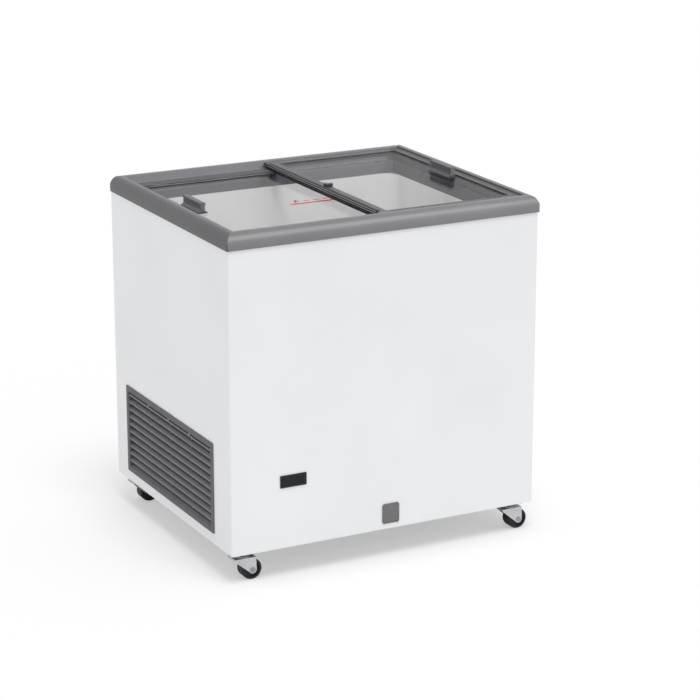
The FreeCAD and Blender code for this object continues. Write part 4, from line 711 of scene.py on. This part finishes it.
def makeFloor():
    half = studio["floor"] / 2
    mesh = bpy.data.meshes.new("floor")
    corners = [(-half, -half, 0.0), (half, -half, 0.0), (half, half, 0.0), (-half, half, 0.0)]
    mesh.from_pydata(corners, [], [(0, 1, 2, 3)])
    finish = Finish("floorPaper")
    paper = finish.node("ShaderNodeBsdfDiffuse", {}, {"Color": colour(*studio["floorWhite"])})
    glow = finish.node("ShaderNodeEmission", {}, {"Color": pureWhite, "Strength": 1.0})
    share = finish.node("ShaderNodeLightPath", output="Is Camera Ray") * studio["floorGlow"]
    mixed = finish.node("ShaderNodeMixShader", {}, {0: share, 1: paper, 2: glow})
    mesh.materials.append(finish.close(mixed))
    floor = bpy.data.objects.new("floor", mesh)
    scene.collection.objects.link(floor)


def makeWorld():
    world = bpy.data.worlds.new("studio")
    world.use_nodes = True
    graph = Graph(world.node_tree)
    world.node_tree.nodes.clear()
    path = graph.node("ShaderNodeLightPath").socket.node
    rays = ("Is Camera Ray", "Is Glossy Ray", "Is Transmission Ray")
    seen = [Output(graph, path.outputs[name]) for name in rays]
    shown = graph.node("ShaderNodeClamp", {}, {"Value": seen[0] + seen[1] + seen[2]})
    white = graph.node("ShaderNodeBackground", {}, {"Color": pureWhite, "Strength": 1.0})
    ambient = graph.node("ShaderNodeBackground", {}, {"Color": pureWhite, "Strength": studio["ambient"]})
    mixed = graph.node("ShaderNodeMixShader", {}, {0: shown, 1: ambient, 2: white})
    graph.node("ShaderNodeOutputWorld", {}, {"Surface": mixed})
    scene.world = world


def makeSun():
    lamp = bpy.data.lights.new("softLamp", "SUN")
    lamp.energy = studio["sun"]
    lamp.angle = math.radians(studio["softness"])
    sun = bpy.data.objects.new("softLamp", lamp)
    towards = bearing(studio["sunAzimuth"], studio["sunElevation"])
    sun.rotation_mode = "QUATERNION"
    sun.rotation_quaternion = towards.to_track_quat("Z", "Y")
    scene.collection.objects.link(sun)


# soft boxes in front on the right, each flagged off all but one long rail of the frame
softBox = {"place": (1.35, -3.35, 3.0), "target": (0.0, -0.33, 0.82), "width": 2.6, "height": 1.4,
           "front": {"rail": "frame_rail_front", "power": 180.0, "gloss": True},
           "rear": {"rail": "frame_rail_rear", "power": 205.0, "gloss": False}}


def makeSoftBox(end):
    lamp = bpy.data.lights.new("softBox_" + end, "AREA")
    lamp.shape = "RECTANGLE"
    lamp.size = softBox["width"]
    lamp.size_y = softBox["height"]
    lamp.energy = softBox[end]["power"]
    holder = bpy.data.objects.new("softBox_" + end, lamp)
    towards = Vector(softBox["place"]) - Vector(softBox["target"])
    holder.location = softBox["place"]
    holder.rotation_mode = "QUATERNION"
    holder.rotation_quaternion = towards.to_track_quat("Z", "Y")
    holder.visible_camera = False
    holder.visible_glossy = softBox[end]["gloss"]
    lit = bpy.data.collections.new("softBoxLit_" + end)
    lit.objects.link(nodes[softBox[end]["rail"]])
    holder.light_linking.receiver_collection = lit
    scene.collection.objects.link(holder)


# camera where the photograph was taken from
view = {"azimuth": -27.68, "elevation": 16.74, "distance": 6.091, "target": (0.0773, 0.0, 0.4099),
        "lens": 128.8, "sensor": 36.0}


def makeCamera():
    lens = bpy.data.cameras.new("camera")
    lens.lens = view["lens"]
    lens.sensor_width = view["sensor"]
    camera = bpy.data.objects.new("camera", lens)
    back = bearing(view["azimuth"], view["elevation"])
    camera.rotation_mode = "QUATERNION"
    camera.location = Vector(view["target"]) + back * view["distance"]
    camera.rotation_quaternion = (-back).to_track_quat("-Z", "Y")
    scene.collection.objects.link(camera)
    scene.camera = camera


makeFloor()
makeWorld()
makeSun()
makeSoftBox("front")
makeSoftBox("rear")
makeCamera()
scene.view_settings.view_transform = "Standard"
print("stage, light and camera set")
